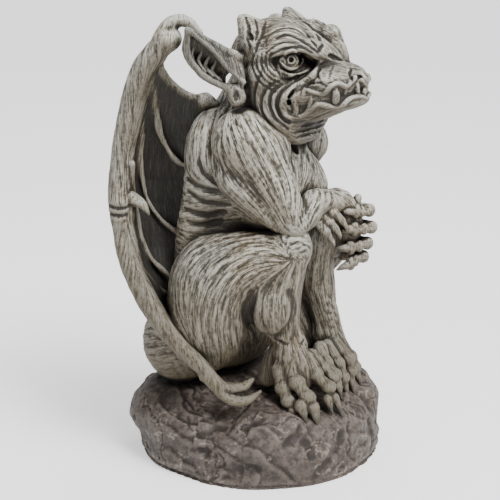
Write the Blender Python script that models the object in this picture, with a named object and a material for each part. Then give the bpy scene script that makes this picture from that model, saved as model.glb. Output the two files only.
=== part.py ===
# Seated gargoyle on its rock, cast in one piece: the rock, the body with its
# head, limbs and hands, and the two folded wings. One closed body.
import math
import bpy
import bmesh
import numpy as np
from mathutils import Matrix

# Driving sizes, metres. The figure keeps its pose as shares of its height.
HEIGHT = 0.354
POSED_HEIGHT = 354.0
MM = HEIGHT / POSED_HEIGHT
GRAIN = 1.7 * MM
MEMBRANE = 4.2 * MM
FACES = 9300

for old in list(bpy.data.objects):
    bpy.data.objects.remove(old)


def smooth_path(points, steps=6):
    """Points along a Catmull-Rom curve through the given ones."""
    p = np.asarray(points, float)
    ends = np.vstack([2 * p[0] - p[1], p, 2 * p[-1] - p[-2]])
    t = np.linspace(0.0, 1.0, steps, endpoint=False)[:, None]
    out = []
    for a, b, c, d in zip(ends[:-3], ends[1:-2], ends[2:-1], ends[3:]):
        out.append(0.5 * (2 * b + (c - a) * t + (2 * a - 5 * b + 4 * c - d) * t ** 2
                          + (3 * b - a - 3 * c + d) * t ** 3))
    out.append(p[-1:])
    return np.vstack(out)


class Clay:
    """Gathers closed lumps, in millimetres of the posed figure, to be made one body."""

    def __init__(self):
        self.mass = bmesh.new()

    def ball(self, centre, radii, turn=None, soft=0.0, cut=False):
        if cut:
            return
        r = np.ones(3) * np.asarray(radii, float)
        frame = np.eye(3) if turn is None else np.asarray(turn, float)
        place = Matrix.Translation([c * MM for c in centre[:3]])
        lean = Matrix(frame.T.tolist()).to_4x4()
        size = Matrix.Diagonal([r[0] * MM, r[1] * MM, r[2] * MM, 1.0])
        bmesh.ops.create_icosphere(self.mass, subdivisions=4, radius=1.0, matrix=place @ lean @ size)

    def limb(self, points, soft=0.0, cut=False):
        path = smooth_path(points, 5)
        curve = bpy.data.curves.new("limb", "CURVE")
        curve.dimensions = "3D"
        curve.bevel_depth = MM
        curve.bevel_resolution = 4
        curve.use_fill_caps = True
        line = curve.splines.new("POLY")
        line.points.add(len(path) - 1)
        for knot, (x, y, z, r) in zip(line.points, path):
            knot.co = (x * MM, y * MM, z * MM, 1.0)
            knot.radius = float(r)
        self.take(bpy.data.objects.new("limb", curve))
        for x, y, z, r in path[[0, -1]]:
            self.ball((x, y, z), (r, r, r))

    def sheet(self, rows, thick, soft=0.0):
        rows = np.asarray(rows, float)
        m, n = rows.shape[:2]
        mesh = bpy.data.meshes.new("sheet")
        corners = [(i * n + j, (i + 1) * n + j, (i + 1) * n + j + 1, i * n + j + 1)
                   for i in range(m - 1) for j in range(n - 1)]
        mesh.from_pydata((rows.reshape(-1, 3) * MM).tolist(), [], corners)
        piece = bpy.data.objects.new("sheet", mesh)
        skin = piece.modifiers.new("skin", "SOLIDIFY")
        skin.thickness = MEMBRANE
        skin.offset = 0.0
        self.take(piece)

    def take(self, piece):
        bpy.context.scene.collection.objects.link(piece)
        bpy.context.view_layer.update()
        view = bpy.context.evaluated_depsgraph_get()
        mesh = bpy.data.meshes.new_from_object(piece.evaluated_get(view))
        self.mass.from_mesh(mesh)
        bpy.data.objects.remove(piece)


# Figure in millimetres: x to the figure's left, y to its back, z up.
TURN = math.radians(60.0)


def q(across, toward, up, radius=0.0):
    """A point laid out in the three-quarter view: across, toward the viewer, up, radius."""
    x = across * math.cos(TURN) - toward * math.sin(TURN)
    y = -across * math.sin(TURN) - toward * math.cos(TURN)
    return (x, y, up, radius)


def aim(direction, upward=(0.0, 0.0, 1.0)):
    """Own axes of a stretched ball: along the direction, sideways, and upward."""
    a = np.array(direction, float)
    a /= np.linalg.norm(a)
    b = np.cross(upward, a)
    b /= np.linalg.norm(b)
    return np.array([a, b, np.cross(a, b)])


def mirror(points):
    return [(-p[0],) + tuple(p[1:]) for p in points]


def rock(clay):
    clay.ball((1, -4, 5), (102, 100, 38), soft=0)
    clay.ball((0, -2, 28), (99, 96, 28), soft=16)
    clay.ball((-40, 54, 36), (46, 38, 26), soft=10)
    clay.ball((-70, 16, 32), (30, 40, 24), soft=8)
    clay.ball((46, -48, 34), (46, 40, 26), soft=10)
    clay.ball((-46, -40, 32), (44, 44, 28), soft=12)
    clay.ball((44, 46, 34), (46, 40, 25), soft=10)
    clay.ball((0, 30, 48), (68, 46, 20), soft=10)
    clay.ball((-14, -60, 32), (50, 34, 22), soft=10)


def torso(clay):
    clay.ball((0, 30, 102), (60, 44, 42), soft=0)
    clay.ball((-46, 44, 92), (27, 32, 34), soft=8)
    clay.ball((46, 44, 92), (27, 32, 34), soft=8)
    clay.ball((0, 20, 155), (47, 36, 50), soft=16)
    clay.ball((-2, -2, 222), (44, 45, 44), soft=18)
    clay.ball((-24, -24, 214), (22, 24, 28), soft=8)
    clay.ball((20, -26, 212), (22, 24, 28), soft=8)
    clay.ball((-30, 22, 240), (24, 22, 38), soft=12)
    clay.ball((30, 22, 234), (24, 22, 38), soft=12)
    clay.limb([(0, 58, 110, 12), (0, 52, 160, 11), (0, 43, 210, 11), (0, 37, 250, 10), (0, 22, 282, 10)], soft=12)
    clay.limb([(-30, 44, 140, 14), (-34, 38, 180, 14), (-34, 30, 214, 14)], soft=12)
    clay.limb([(30, 44, 140, 14), (34, 38, 180, 14), (34, 30, 210, 14)], soft=12)
    clay.limb([(0, 6, 250, 32), (0, -8, 272, 30), (0, -18, 292, 30)], soft=16)


def leg_right(clay):
    clay.ball(q(-37, 38, 126), (32, 36, 50), aim((0.52, -0.85, 0.0)), soft=8)
    clay.ball(q(-44, 34, 112), (28, 34, 38), aim((0.52, -0.85, 0.0)), soft=8)
    clay.limb([q(-30, 36, 148, 36), q(-6, 42, 160, 28), q(14, 46, 170, 20), q(24, 48, 176, 16)], soft=10)
    clay.ball(q(27, 50, 180), (14, 13, 15), soft=6)
    clay.limb([q(22, 48, 172, 17), q(17, 50, 150, 18), q(14, 50, 130, 19), q(20, 48, 112, 13), q(26, 48, 98, 10.5)], soft=6)
    clay.ball(q(8, 54, 132), (16, 17, 21), soft=5)
    clay.limb([q(26, 48, 98, 11), q(27, 50, 84, 13), q(30, 54, 74, 13)], soft=6)
    clay.limb([q(22, 46, 98, 9), q(14, 40, 84, 9), q(10, 36, 68, 10)], soft=6)


def toe(clay, points, claw, soft=3.0):
    clay.limb(points, soft=soft)
    clay.limb(claw, soft=1.2)


def foot_right(clay):
    toe(clay, [q(24, 56, 82, 8), q(28, 70, 74, 6.5), q(32, 78, 66, 7.5), q(37, 82, 54, 6)],
        [q(39, 83, 52, 5), q(43, 88, 44, 4), q(46, 88, 34, 1.2)])
    toe(clay, [q(32, 52, 84, 8), q(40, 62, 76, 6.5), q(48, 68, 67, 7.5), q(54, 70, 56, 6)],
        [q(55, 71, 54, 5), q(60, 75, 46, 4), q(63, 74, 36, 1.2)])
    toe(clay, [q(36, 44, 84, 8), q(48, 50, 76, 6.5), q(57, 52, 68, 6.5), q(61, 54, 59, 5)],
        [q(62, 55, 57, 4.5), q(66, 57, 50, 3.5), q(68, 57, 42, 1.2)])
    toe(clay, [q(19, 54, 80, 7), q(20, 64, 68, 6), q(24, 72, 58, 6), q(29, 76, 48, 5)],
        [q(30, 77, 46, 4), q(34, 80, 40, 3), q(37, 80, 34, 1.0)])


def leg_left(clay):
    clay.ball((50, 14, 122), (30, 38, 48), aim((0.2, -1.0, 0.1)), soft=8)
    clay.limb([(48, 12, 146, 32), (40, -10, 156, 27), (32, -28, 166, 20), (27, -36, 170, 16)], soft=10)
    clay.ball((26, -39, 171), (13, 13, 15), soft=6)
    clay.limb([(26, -38, 166, 16), (29, -38, 142, 15), (30, -42, 122, 13), (29, -46, 106, 10.5), (30, -48, 92, 10)], soft=6)
    clay.ball((38, -30, 128), (14, 16, 20), soft=6)
    clay.limb([(30, -48, 92, 10.5), (31, -52, 82, 12), (32, -58, 72, 12)], soft=6)
    clay.limb([(34, -44, 94, 9), (40, -34, 80, 9), (42, -26, 66, 10)], soft=6)


def foot_left(clay):
    toe(clay, [(26, -56, 78, 7.5), (22, -66, 72, 6), (20, -73, 66, 7), (19, -79, 56, 5.5)],
        [(19, -80, 54, 4.8), (18, -86, 47, 3.8), (17, -89, 39, 1.2)])
    toe(clay, [(32, -58, 78, 7.5), (33, -70, 72, 6), (34, -78, 65, 7), (35, -83, 55, 5.5)],
        [(35, -84, 53, 4.8), (36, -90, 46, 3.8), (36, -92, 38, 1.2)])
    toe(clay, [(40, -54, 78, 7.5), (45, -64, 71, 6), (49, -71, 64, 6.5), (52, -76, 55, 5.2)],
        [(52, -77, 53, 4.6), (55, -82, 47, 3.6), (56, -84, 40, 1.2)])
    toe(clay, [(42, -46, 78, 7), (50, -54, 68, 6), (56, -60, 60, 6), (60, -64, 52, 5)],
        [(60, -65, 50, 4.2), (63, -69, 44, 3.2), (65, -71, 38, 1.0)])


def arm_right(clay):
    clay.ball(q(-4, 36, 254), (29, 27, 28), aim((0.5, -0.87, -0.3)), soft=8)
    clay.limb([q(-10, 36, 256, 24), q(2, 44, 240, 20), q(14, 49, 222, 16), q(24, 53, 206, 11), q(29, 54, 196, 8)], soft=8)
    clay.limb([q(-24, 32, 240, 14), q(-14, 42, 226, 15), q(2, 48, 212, 13), q(16, 52, 200, 10), q(27, 54, 192, 7)], soft=4)
    clay.ball(q(27, 54, 194), (8, 8, 7), soft=3)
    clay.limb([q(27, 53, 195, 9), q(38, 44, 199, 13), q(46, 36, 206, 14), q(54, 22, 206, 11), q(60, 12, 204, 9)], soft=5)


def arm_left(clay):
    clay.ball((38, -20, 246), (19, 21, 20), soft=8)
    clay.limb([(42, -14, 246, 19), (52, -6, 222, 17), (58, -6, 192, 16), (58, -14, 164, 13), (55, -24, 142, 11)], soft=8)
    clay.ball((54, -25, 136), (10, 11, 10), soft=4)
    clay.limb([(54, -26, 136, 10), (52, -36, 148, 11), (47, -48, 162, 11), (42, -58, 176, 9)], soft=4)


def hands(clay):
    clay.ball(q(71, 1, 184), (14, 12, 22), aim((0.5, -0.87, 0.0)), soft=4)
    clay.ball(q(63, 6, 200), (14, 11, 10), aim((0.5, -0.87, 0.1)), soft=4)
    clay.limb([q(58, 8, 204, 8), q(66, 8, 205, 7), q(72, 8, 200, 6), q(77, 8, 196, 4)], soft=3)
    clay.limb([q(76, 6, 196, 4), q(78, 6, 203, 3.6), q(80, 5, 207, 3)], soft=1)
    for k, (out, up) in enumerate([(89, 195), (90, 181), (88, 169), (85, 159)]):
        clay.limb([q(out - 16, -8, up, 6.5), q(out - 3, -6, up, 5.5), q(out, 3, up, 5.2),
                   q(out - 7, 11, up, 5), q(out - 14, 13, up, 4.6)], soft=2)
        clay.limb([q(out - 15, 13, up, 4.2), q(out - 22, 14, up - 1, 2.8), q(out - 28, 12, up - 3, 0.9)], soft=0.6)
    for k, (out, up) in enumerate([(60, 197), (64, 191), (66, 184)]):
        clay.limb([q(out - 10, 16, up + 2, 5), q(out - 2, 17, up - 2, 4.6), q(out + 4, 14, up - 9, 3.6)], soft=1.5)
    clay.ball(q(62, -2, 170), (12, 10, 14), soft=4)


def wing(clay, side=-1, slip=0.0, drop=0.0):
    def p(across, toward, up, radius=0.0):
        x, y, z, r = q(across, toward, up, radius)
        lift = min(max((z - 235.0) / 60.0, 0.0), 1.0)
        return (x, y - slip * lift, z - drop * lift, r) if side < 0 else (-x, y - slip * lift, z - drop * lift, r)
    lead = [p(-66, 42, 334, 8), p(-74, 40, 326, 8.5), p(-84, 34, 313, 9), p(-92, 26, 294, 9.5), p(-98, 20, 270, 9.5),
            p(-104, 14, 244, 9), p(-107, 13, 216, 9.5), p(-106, 15, 202, 10.5), p(-105, 18, 186, 9),
            p(-100, 28, 164, 9), p(-90, 42, 143, 8.5), p(-76, 56, 123, 8), p(-58, 68, 104, 7), p(-42, 76, 90, 6),
            p(-32, 80, 80, 5)]
    clay.limb(lead, soft=3)
    clay.ball(lead[0], (10, 10, 9), soft=4)
    # Thumb hook over the wrist.
    clay.limb([p(-70, 40, 334, 7), p(-66, 40, 343, 5.5), p(-58, 40, 347, 5), p(-50, 40, 345, 4.2), p(-43, 40, 338, 3)], soft=3)
    # Claws at the rock.
    clay.limb([p(-40, 78, 84, 5), p(-26, 80, 76, 4.5), p(-12, 76, 74, 4), p(-4, 70, 78, 2)], soft=2)
    clay.limb([p(-36, 78, 80, 4.5), p(-22, 84, 68, 4), p(-8, 82, 66, 3.5), p(2, 74, 70, 1.6)], soft=2)
    # Spur at the middle joint.
    clay.limb([p(-98, 18, 208, 6), p(-90, 22, 205, 4), p(-84, 24, 197, 1.2)], soft=2)
    rows = [
        [p(-72, 34, 312), p(-66, 22, 300), p(-54, 12, 289), p(-40, 8, 284)],
        [p(-90, 24, 286), p(-76, 10, 276), p(-60, 4, 268), p(-42, 6, 264)],
        [p(-97, 17, 264), p(-82, 2, 258), p(-64, -4, 252), p(-44, 2, 248)],
        [p(-101, 12, 240), p(-86, -4, 236), p(-68, -9, 234), p(-44, -2, 234)],
        [p(-102, 10, 222), p(-90, -7, 219), p(-72, -12, 218), p(-42, -6, 217)],
        [p(-102, 12, 202), p(-90, -6, 200), p(-72, -12, 199), p(-42, -4, 199)],
        [p(-100, 16, 184), p(-86, -2, 180), p(-68, -8, 178), p(-42, 0, 178)],
        [p(-97, 22, 170), p(-86, 2, 166), p(-68, -3, 163), p(-44, 4, 161)],
        [p(-92, 30, 154), p(-82, 10, 149), p(-66, 4, 146), p(-46, 10, 144)],
        [p(-84, 40, 138), p(-78, 24, 134), p(-68, 16, 131), p(-52, 20, 129)],
        [p(-72, 50, 122), p(-68, 38, 117), p(-60, 32, 113), p(-50, 34, 110)],
        [p(-56, 62, 104), p(-54, 54, 100), p(-50, 48, 96), p(-44, 50, 94)],
    ]
    clay.sheet([[s[:3] for s in smooth_path(r, 3)] for r in rows], 2.1, soft=4)
    fingers = [
        [p(-86, 30, 300, 4), p(-84, 16, 270, 4.2), p(-81, 6, 252, 4.6), p(-76, 2, 240, 3.6), p(-66, -2, 228, 2.8), p(-54, 0, 229, 1.2)],
        [p(-92, 24, 286, 4), p(-93, 10, 258, 4), p(-94, 4, 232, 4), p(-92, 0, 210, 4.4), p(-86, 0, 196, 4.6), p(-76, 0, 182, 3.8),
         p(-62, 2, 174, 3), p(-46, 6, 179, 1.2)],
        [p(-99, 18, 240, 4), p(-99, 14, 214, 4), p(-98, 12, 188, 4), p(-94, 14, 172, 4.6), p(-86, 16, 158, 3.8), p(-76, 18, 147, 3),
         p(-60, 22, 145, 1.2)],
    ]
    for f in fingers:
        clay.limb(f, soft=2.5)
    clay.limb([p(-40, 10, 284, 6), p(-36, 4, 276, 8), p(-34, 2, 262, 9)], soft=5)
    clay.limb([p(-54, 14, 290, 3), p(-66, 24, 301, 3), p(-72, 34, 312, 3.5), p(-70, 40, 326, 5)], soft=3)


def ear(clay, side=-1):
    def p(x, y, z, r=0.0):
        return (x, y, z, r) if side < 0 else (-x, y, z, r)
    front = [p(-44, -14, 286), p(-56, -2, 291), p(-67, 10, 306), p(-74, 16, 324), p(-76, 15, 340)]
    floor = [p(-42, -2, 300), p(-50, 8, 304), p(-60, 20, 318), p(-69, 21, 330), p(-75, 16, 341)]
    upper = [p(-38, -10, 318), p(-48, -6, 322), p(-58, 4, 330), p(-67, 10, 337), p(-76, 15, 342)]
    between = [p(-41, -4, 291), p(-52, 6, 297), p(-64, 17, 311), p(-72, 20, 327), p(-76, 15, 341)]
    clay.sheet([[s[:3] for s in smooth_path(r, 3)] for r in (front, between, floor, upper)], 2.0, soft=3)
    clay.limb([p(-44, -14, 286, 5), p(-56, -2, 291, 3), p(-67, 10, 306, 2.8), p(-74, 16, 324, 2.6), p(-76, 15, 340, 2)], soft=2)
    clay.limb([p(-38, -10, 318, 5), p(-48, -6, 322, 3.5), p(-58, 4, 330, 3), p(-67, 10, 337, 2.6), p(-76, 15, 342, 2)], soft=2)
    clay.limb([p(-44, -16, 282, 6), p(-40, -14, 290, 6), p(-36, -12, 300, 6)], soft=4)


def head(clay):
    clay.ball((0, -20, 312), (39, 36, 34), soft=0)
    clay.ball((0, -30, 296), (40, 36, 28), soft=10)
    for s in (-1, 1):
        clay.ball((s * 20, -42, 331), (19, 15, 12), soft=5)
        clay.limb([(s * 36, -34, 326, 6), (s * 28, -49, 328, 6.5), (s * 16, -58, 324, 6.5), (s * 6, -60, 318, 5)], soft=4)
        clay.ball((s * 30, -38, 306), (12, 14, 11), soft=6)
        clay.ball((s * 25, -53, 317), (9, 9, 7), soft=3, cut=True)
        clay.ball((s * 25, -45, 318), (8, 8, 8), soft=1)
        clay.limb([(s * 33, -16, 326, 11), (s * 34.5, -8, 338, 8), (s * 35.5, -2, 349, 3)], soft=4)
        clay.ball((s * 27, -34, 280), (14, 18, 19), soft=8)
        clay.limb([(s * 12, -62, 308, 7), (s * 22, -58, 300, 7), (s * 31, -48, 290, 7), (s * 32, -40, 276, 6)], soft=4)
        clay.ball((s * 14, -68, 300), (17, 16, 13), soft=5)
    clay.ball((0, -62, 302), (20, 22, 16), soft=8)
    clay.ball((0, -80, 306), (12, 9, 9), soft=4)
    clay.ball((0, -56, 283), (34, 32, 13), aim((0.0, -1.0, 0.2)), soft=8)
    clay.ball((0, -76, 289), (25, 15, 9), soft=6)
    clay.limb([(-32, -44, 281, 4.5), (-29, -60, 284, 4.5), (-20, -78, 291, 4.5), (0, -87, 293, 5), (20, -78, 291, 4.5),
               (29, -60, 284, 4.5), (32, -44, 281, 4.5)], soft=3)
    clay.limb([(-24, -36, 262, 10), (-12, -44, 258, 10), (0, -46, 258, 10), (12, -44, 258, 10), (24, -36, 262, 10)], soft=8)


def grown(clay):
    """One skin over all the lumps, eased together and thinned to its faces."""
    mesh = bpy.data.meshes.new("lumps")
    bmesh.ops.triangulate(clay.mass, faces=clay.mass.faces)
    clay.mass.to_mesh(mesh)
    body = bpy.data.objects.new("lumps", mesh)
    bpy.context.scene.collection.objects.link(body)
    skin = body.modifiers.new("skin", "REMESH")
    skin.mode = "VOXEL"
    skin.voxel_size = GRAIN
    ease = body.modifiers.new("ease", "SMOOTH")
    ease.factor = 0.5
    ease.iterations = 4
    bpy.context.view_layer.update()
    made = body.evaluated_get(bpy.context.evaluated_depsgraph_get())
    count = sum(len(p.vertices) - 2 for p in made.data.polygons)
    thin = body.modifiers.new("thin", "DECIMATE")
    thin.ratio = FACES / count
    bpy.context.view_layer.update()
    made = bpy.data.meshes.new_from_object(body.evaluated_get(bpy.context.evaluated_depsgraph_get()))
    bpy.data.objects.remove(body)
    return made


def largest_shell(shape):
    """Leaves only the biggest connected skin."""
    left = set(shape.verts)
    shells = []
    while left:
        seed = left.pop()
        shell = {seed}
        front = [seed]
        while front:
            for edge in front.pop().link_edges:
                for end in edge.verts:
                    if end in left:
                        left.remove(end)
                        shell.add(end)
                        front.append(end)
        shells.append(shell)
    shells.sort(key=len)
    for shell in shells[:-1]:
        bmesh.ops.delete(shape, geom=list(shell), context="VERTS")


clay = Clay()
rock(clay)
torso(clay)
leg_right(clay)
foot_right(clay)
leg_left(clay)
foot_left(clay)
arm_right(clay)
arm_left(clay)
hands(clay)
wing(clay, -1)
wing(clay, 1, 12.0, 8.0)
head(clay)
ear(clay, -1)
ear(clay, 1)

# The underside is one flat face at the bottom of the rock.
shape = bmesh.new()
shape.from_mesh(grown(clay))
largest_shell(shape)
everything = shape.verts[:] + shape.edges[:] + shape.faces[:]
cut = bmesh.ops.bisect_plane(shape, geom=everything, dist=1e-6, plane_co=(0, 0, 0), plane_no=(0, 0, 1),
                             clear_inner=True)
rim = [g for g in cut["geom_cut"] if isinstance(g, bmesh.types.BMEdge)]
bmesh.ops.contextual_create(shape, geom=rim)
bmesh.ops.dissolve_degenerate(shape, dist=1e-5, edges=shape.edges)
bmesh.ops.triangulate(shape, faces=shape.faces)
bmesh.ops.recalc_face_normals(shape, faces=shape.faces)
mesh = bpy.data.meshes.new("gargoyle_statue")
shape.to_mesh(mesh)
statue = bpy.data.objects.new("gargoyle_statue", mesh)
bpy.context.scene.collection.objects.link(statue)

stone = bpy.data.materials.new("grey_cast_stone")
stone.use_nodes = True
paint = stone.node_tree.nodes["Principled BSDF"]
paint.inputs["Base Color"].default_value = (0.21, 0.19, 0.165, 1.0)
paint.inputs["Roughness"].default_value = 0.72
paint.inputs["Metallic"].default_value = 0.0
mesh.materials.append(stone)
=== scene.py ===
import math

import bpy
import numpy as np
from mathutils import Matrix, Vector


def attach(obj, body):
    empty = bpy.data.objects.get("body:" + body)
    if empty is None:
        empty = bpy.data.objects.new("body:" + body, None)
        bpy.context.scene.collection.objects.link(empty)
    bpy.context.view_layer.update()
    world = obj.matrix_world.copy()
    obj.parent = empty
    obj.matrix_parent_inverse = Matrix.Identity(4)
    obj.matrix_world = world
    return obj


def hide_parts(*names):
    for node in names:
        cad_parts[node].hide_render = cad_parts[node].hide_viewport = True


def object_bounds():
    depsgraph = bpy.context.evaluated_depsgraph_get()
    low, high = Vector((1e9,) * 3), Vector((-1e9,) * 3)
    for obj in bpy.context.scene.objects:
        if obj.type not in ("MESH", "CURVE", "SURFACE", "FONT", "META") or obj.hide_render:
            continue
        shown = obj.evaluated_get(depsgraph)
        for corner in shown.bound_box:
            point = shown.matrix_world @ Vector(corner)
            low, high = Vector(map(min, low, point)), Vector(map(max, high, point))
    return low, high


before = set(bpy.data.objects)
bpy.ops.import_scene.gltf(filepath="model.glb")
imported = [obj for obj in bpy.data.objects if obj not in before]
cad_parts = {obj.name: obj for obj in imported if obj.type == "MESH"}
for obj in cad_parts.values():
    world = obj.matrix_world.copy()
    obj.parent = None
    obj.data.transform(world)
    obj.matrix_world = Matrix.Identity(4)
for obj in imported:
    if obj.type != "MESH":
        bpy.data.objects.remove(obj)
cad_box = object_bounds()

# Driving sizes. The figure is posed in millimetres of a 354 mm high statue.
HEIGHT = 0.354
MM = HEIGHT / 354.0

# The distance that empty space is filled with, and random heights for the grain.
FAR = 40.0
CHUNKS = np.random.default_rng(11).random((64, 64, 64)).astype(np.float32)


def smooth_path(points, steps=6):
    """Catmull-Rom curve: each span is the cubic through its two points, with
    slopes set by their neighbours."""
    p = np.asarray(points, float)
    ends = np.vstack([2 * p[0] - p[1], p, 2 * p[-1] - p[-2]])
    t = np.linspace(0.0, 1.0, steps, endpoint=False)[:, None]
    out = []
    for a, b, c, d in zip(ends[:-3], ends[1:-2], ends[2:-1], ends[3:]):
        out.append(0.5 * (2 * b + (c - a) * t + (2 * a - 5 * b + 4 * c - d) * t ** 2
                          + (3 * b - a - 3 * c + d) * t ** 3))
    out.append(p[-1:])
    return np.vstack(out)


def lookup(values, spots):
    """Value at each spot of a grid, blended between its eight corners."""
    top = np.array(values.shape) - 2
    whole = np.clip(np.floor(spots).astype(np.int32), 0, top)
    part = np.clip(spots - whole, 0.0, 1.0).astype(np.float32)
    flat = values.ravel()
    across, up = values.shape[1] * values.shape[2], values.shape[2]
    at = whole[:, 0] * across + whole[:, 1] * up + whole[:, 2]
    found = 0.0
    for i in (0, 1):
        for j in (0, 1):
            for k in (0, 1):
                share = ((part[:, 0] if i else 1 - part[:, 0]) * (part[:, 1] if j else 1 - part[:, 1])
                         * (part[:, 2] if k else 1 - part[:, 2]))
                found = found + share * flat[at + i * across + j * up + k]
    return found


def grain(points, cell):
    """Random heights 0 to 1 at the corners of cells of this size, blended between them."""
    spots = (points / cell).astype(np.float32) % 62.999
    return lookup(CHUNKS, spots)


def rough(points, cell, octaves=3):
    """Sum of grains, each half the size and half the height of the last, about zero."""
    total, share = 0.0, 1.0
    for k in range(octaves):
        total = total + share * (grain(points + 17.3 * k, cell * 0.5 ** k) - 0.5)
        share *= 0.5
    return total


class Clay:
    """A block of signed distances, in millimetres, negative inside the clay."""

    def __init__(self, low, high, step, reach=5.0):
        self.low = np.asarray(low, float)
        self.step = float(step)
        self.reach = reach
        self.count = np.ceil((np.asarray(high, float) - self.low) / step).astype(int) + 1
        self.field = np.full(self.count, FAR, np.float32)

    def window(self, low, high):
        first = np.clip(np.floor((np.asarray(low) - self.low) / self.step).astype(int), 0, self.count)
        last = np.clip(np.ceil((np.asarray(high) - self.low) / self.step).astype(int) + 1, 0, self.count)
        return first, last

    def axes(self, first, last):
        return [(self.low[k] + self.step * np.arange(first[k], last[k])).astype(np.float32).reshape(
            [-1 if i == k else 1 for i in range(3)]) for k in range(3)]

    def merge(self, first, last, distance, soft, cut):
        """Smooth union: the lesser distance, less a quarter of the squared overlap
        of the two over the softness. A cut is the same on the turned-over field."""
        box = tuple(slice(i, j) for i, j in zip(first, last))
        old = -self.field[box] if cut else self.field[box]
        new = np.minimum(old, distance)
        if soft > 0:
            overlap = np.maximum(soft - np.abs(old - distance), 0)
            new -= overlap * overlap / (4 * soft)
        self.field[box] = -new if cut else new

    def ball(self, centre, radii, turn=None, soft=3.0, cut=False):
        """Stretched ball: with k0 the length of p / r and k1 that of p / r squared,
        the distance is k0 (k0 - 1) / k1."""
        c = np.asarray(centre, float)[:3]
        r = np.ones(3) * np.asarray(radii, float)
        frame_axes = np.eye(3) if turn is None else np.asarray(turn, float)
        extent = np.sqrt(((frame_axes * r[:, None]) ** 2).sum(0)) + self.reach + soft
        first, last = self.window(c - extent, c + extent)
        if (last <= first).any():
            return
        x, y, z = self.axes(first, last)
        x, y, z = x - np.float32(c[0]), y - np.float32(c[1]), z - np.float32(c[2])
        k0 = k1 = 0.0
        for axis, radius in zip(frame_axes.astype(np.float32), r.astype(np.float32)):
            q = axis[0] * x + axis[1] * y + axis[2] * z
            k0 = k0 + (q / radius) ** 2
            k1 = k1 + (q / radius ** 2) ** 2
        k0, k1 = np.sqrt(k0), np.sqrt(k1)
        self.merge(first, last, (k0 * (k0 - 1) / np.maximum(k1, 1e-6)).astype(np.float32), soft, cut)

    def limb(self, points, soft=3.0, cut=False, steps=5):
        """A tapering limb along a smooth path: the least distance to its short spans,
        each the distance to the span's line less the radius blended along it."""
        path = smooth_path(points, steps).astype(np.float32)
        margin = path[:, 3].max() + self.reach + soft
        first, last = self.window(path[:, :3].min(0) - margin, path[:, :3].max(0) + margin)
        if (last <= first).any():
            return
        distance = np.full(last - first, FAR, np.float32)
        for a, b in zip(path[:-1], path[1:]):
            margin = max(a[3], b[3]) + self.reach + soft
            low, high = self.window(np.minimum(a, b)[:3] - margin, np.maximum(a, b)[:3] + margin)
            if (high <= low).any():
                continue
            x, y, z = self.axes(low, high)
            span = b[:3] - a[:3]
            x, y, z = x - a[0], y - a[1], z - a[2]
            t = np.clip((x * span[0] + y * span[1] + z * span[2]) / max(float(span @ span), 1e-9), 0, 1)
            x, y, z = x - t * span[0], y - t * span[1], z - t * span[2]
            piece = np.sqrt(x * x + y * y + z * z) - (a[3] + t * (b[3] - a[3]))
            box = tuple(slice(i - k, j - k) for i, j, k in zip(low, high, first))
            np.minimum(distance[box], piece, out=distance[box])
        self.merge(first, last, distance, soft, cut)

    def sheet(self, rows, thick, soft=2.0):
        """A skin on a grid of points: the least distance to its close-set points,
        less half its thickness."""
        rows = np.asarray(rows, float)
        fine = self.step * 0.8
        for axis in (0, 1):
            length = np.linalg.norm(np.diff(rows, axis=axis), axis=-1).max(axis=1 - axis)
            spans = np.maximum(1, np.ceil(length / fine).astype(int))
            t = np.concatenate([i + np.arange(c) / c for i, c in enumerate(spans)] + [[len(spans)]])
            i = np.minimum(t.astype(int), len(spans) - 1)
            f = (t - i)[:, None, None] if axis == 0 else (t - i)[None, :, None]
            if axis == 0:
                rows = rows[i] * (1 - f) + rows[i + 1] * f
            else:
                rows = rows[:, i] * (1 - f) + rows[:, i + 1] * f
        dots = rows.reshape(-1, 3)
        margin = thick + soft + 1.5 * self.step
        first, last = self.window(dots.min(0) - margin, dots.max(0) + margin)
        if (last <= first).any():
            return
        distance = np.full(last - first, FAR, np.float32)
        flat, shape = distance.ravel(), last - first
        spot = (dots - self.low) / self.step - first
        near = np.round(spot).astype(int)
        off = (spot - near).astype(np.float32)
        ring = int(np.ceil(margin / self.step))
        around = np.arange(-ring, ring + 1)
        for i in around:
            for j in around:
                for k in around:
                    if (i * i + j * j + k * k) * self.step ** 2 > margin ** 2:
                        continue
                    cell = near + (i, j, k)
                    held = ((cell >= 0) & (cell < shape)).all(1)
                    gap = np.sqrt((i - off[held, 0]) ** 2 + (j - off[held, 1]) ** 2 + (k - off[held,
                            2]) ** 2)
                    at = (cell[held, 0] * shape[1] + cell[held, 1]) * shape[2] + cell[held, 2]
                    np.minimum.at(flat, at, gap * np.float32(self.step) - np.float32(thick))
        self.merge(first, last, distance, soft, False)

    def slice(self, way, reach, soft=2.5):
        """Cuts away all that lies further than this along a direction."""
        x, y, z = self.axes((0, 0, 0), self.count)
        beyond = (way[0] * x + way[1] * y + way[2] * z - reach).astype(np.float32)
        self.merge((0, 0, 0), self.count, -beyond, soft, True)

    def depth(self, points):
        """Signed distance at each point."""
        return lookup(self.field, (points - self.low) / self.step)

    def settle(self, points, lift=0.0):
        """Moves points onto the surface, or this much above it, by stepping down the
        slope of the distance."""
        spots = np.asarray(points, float).copy()
        for _ in range(6):
            level = self.depth(spots)
            slope = np.stack([self.depth(spots + d) - self.depth(spots - d) for d in np.eye(3)], 1) / 2
            size = np.maximum((slope ** 2).sum(1), 0.05)
            step = np.where(np.abs(level) < FAR / 3, level - lift, 0.0) / size
            spots -= np.clip(step, -4.0, 4.0)[:, None] * slope
        return spots

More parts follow.
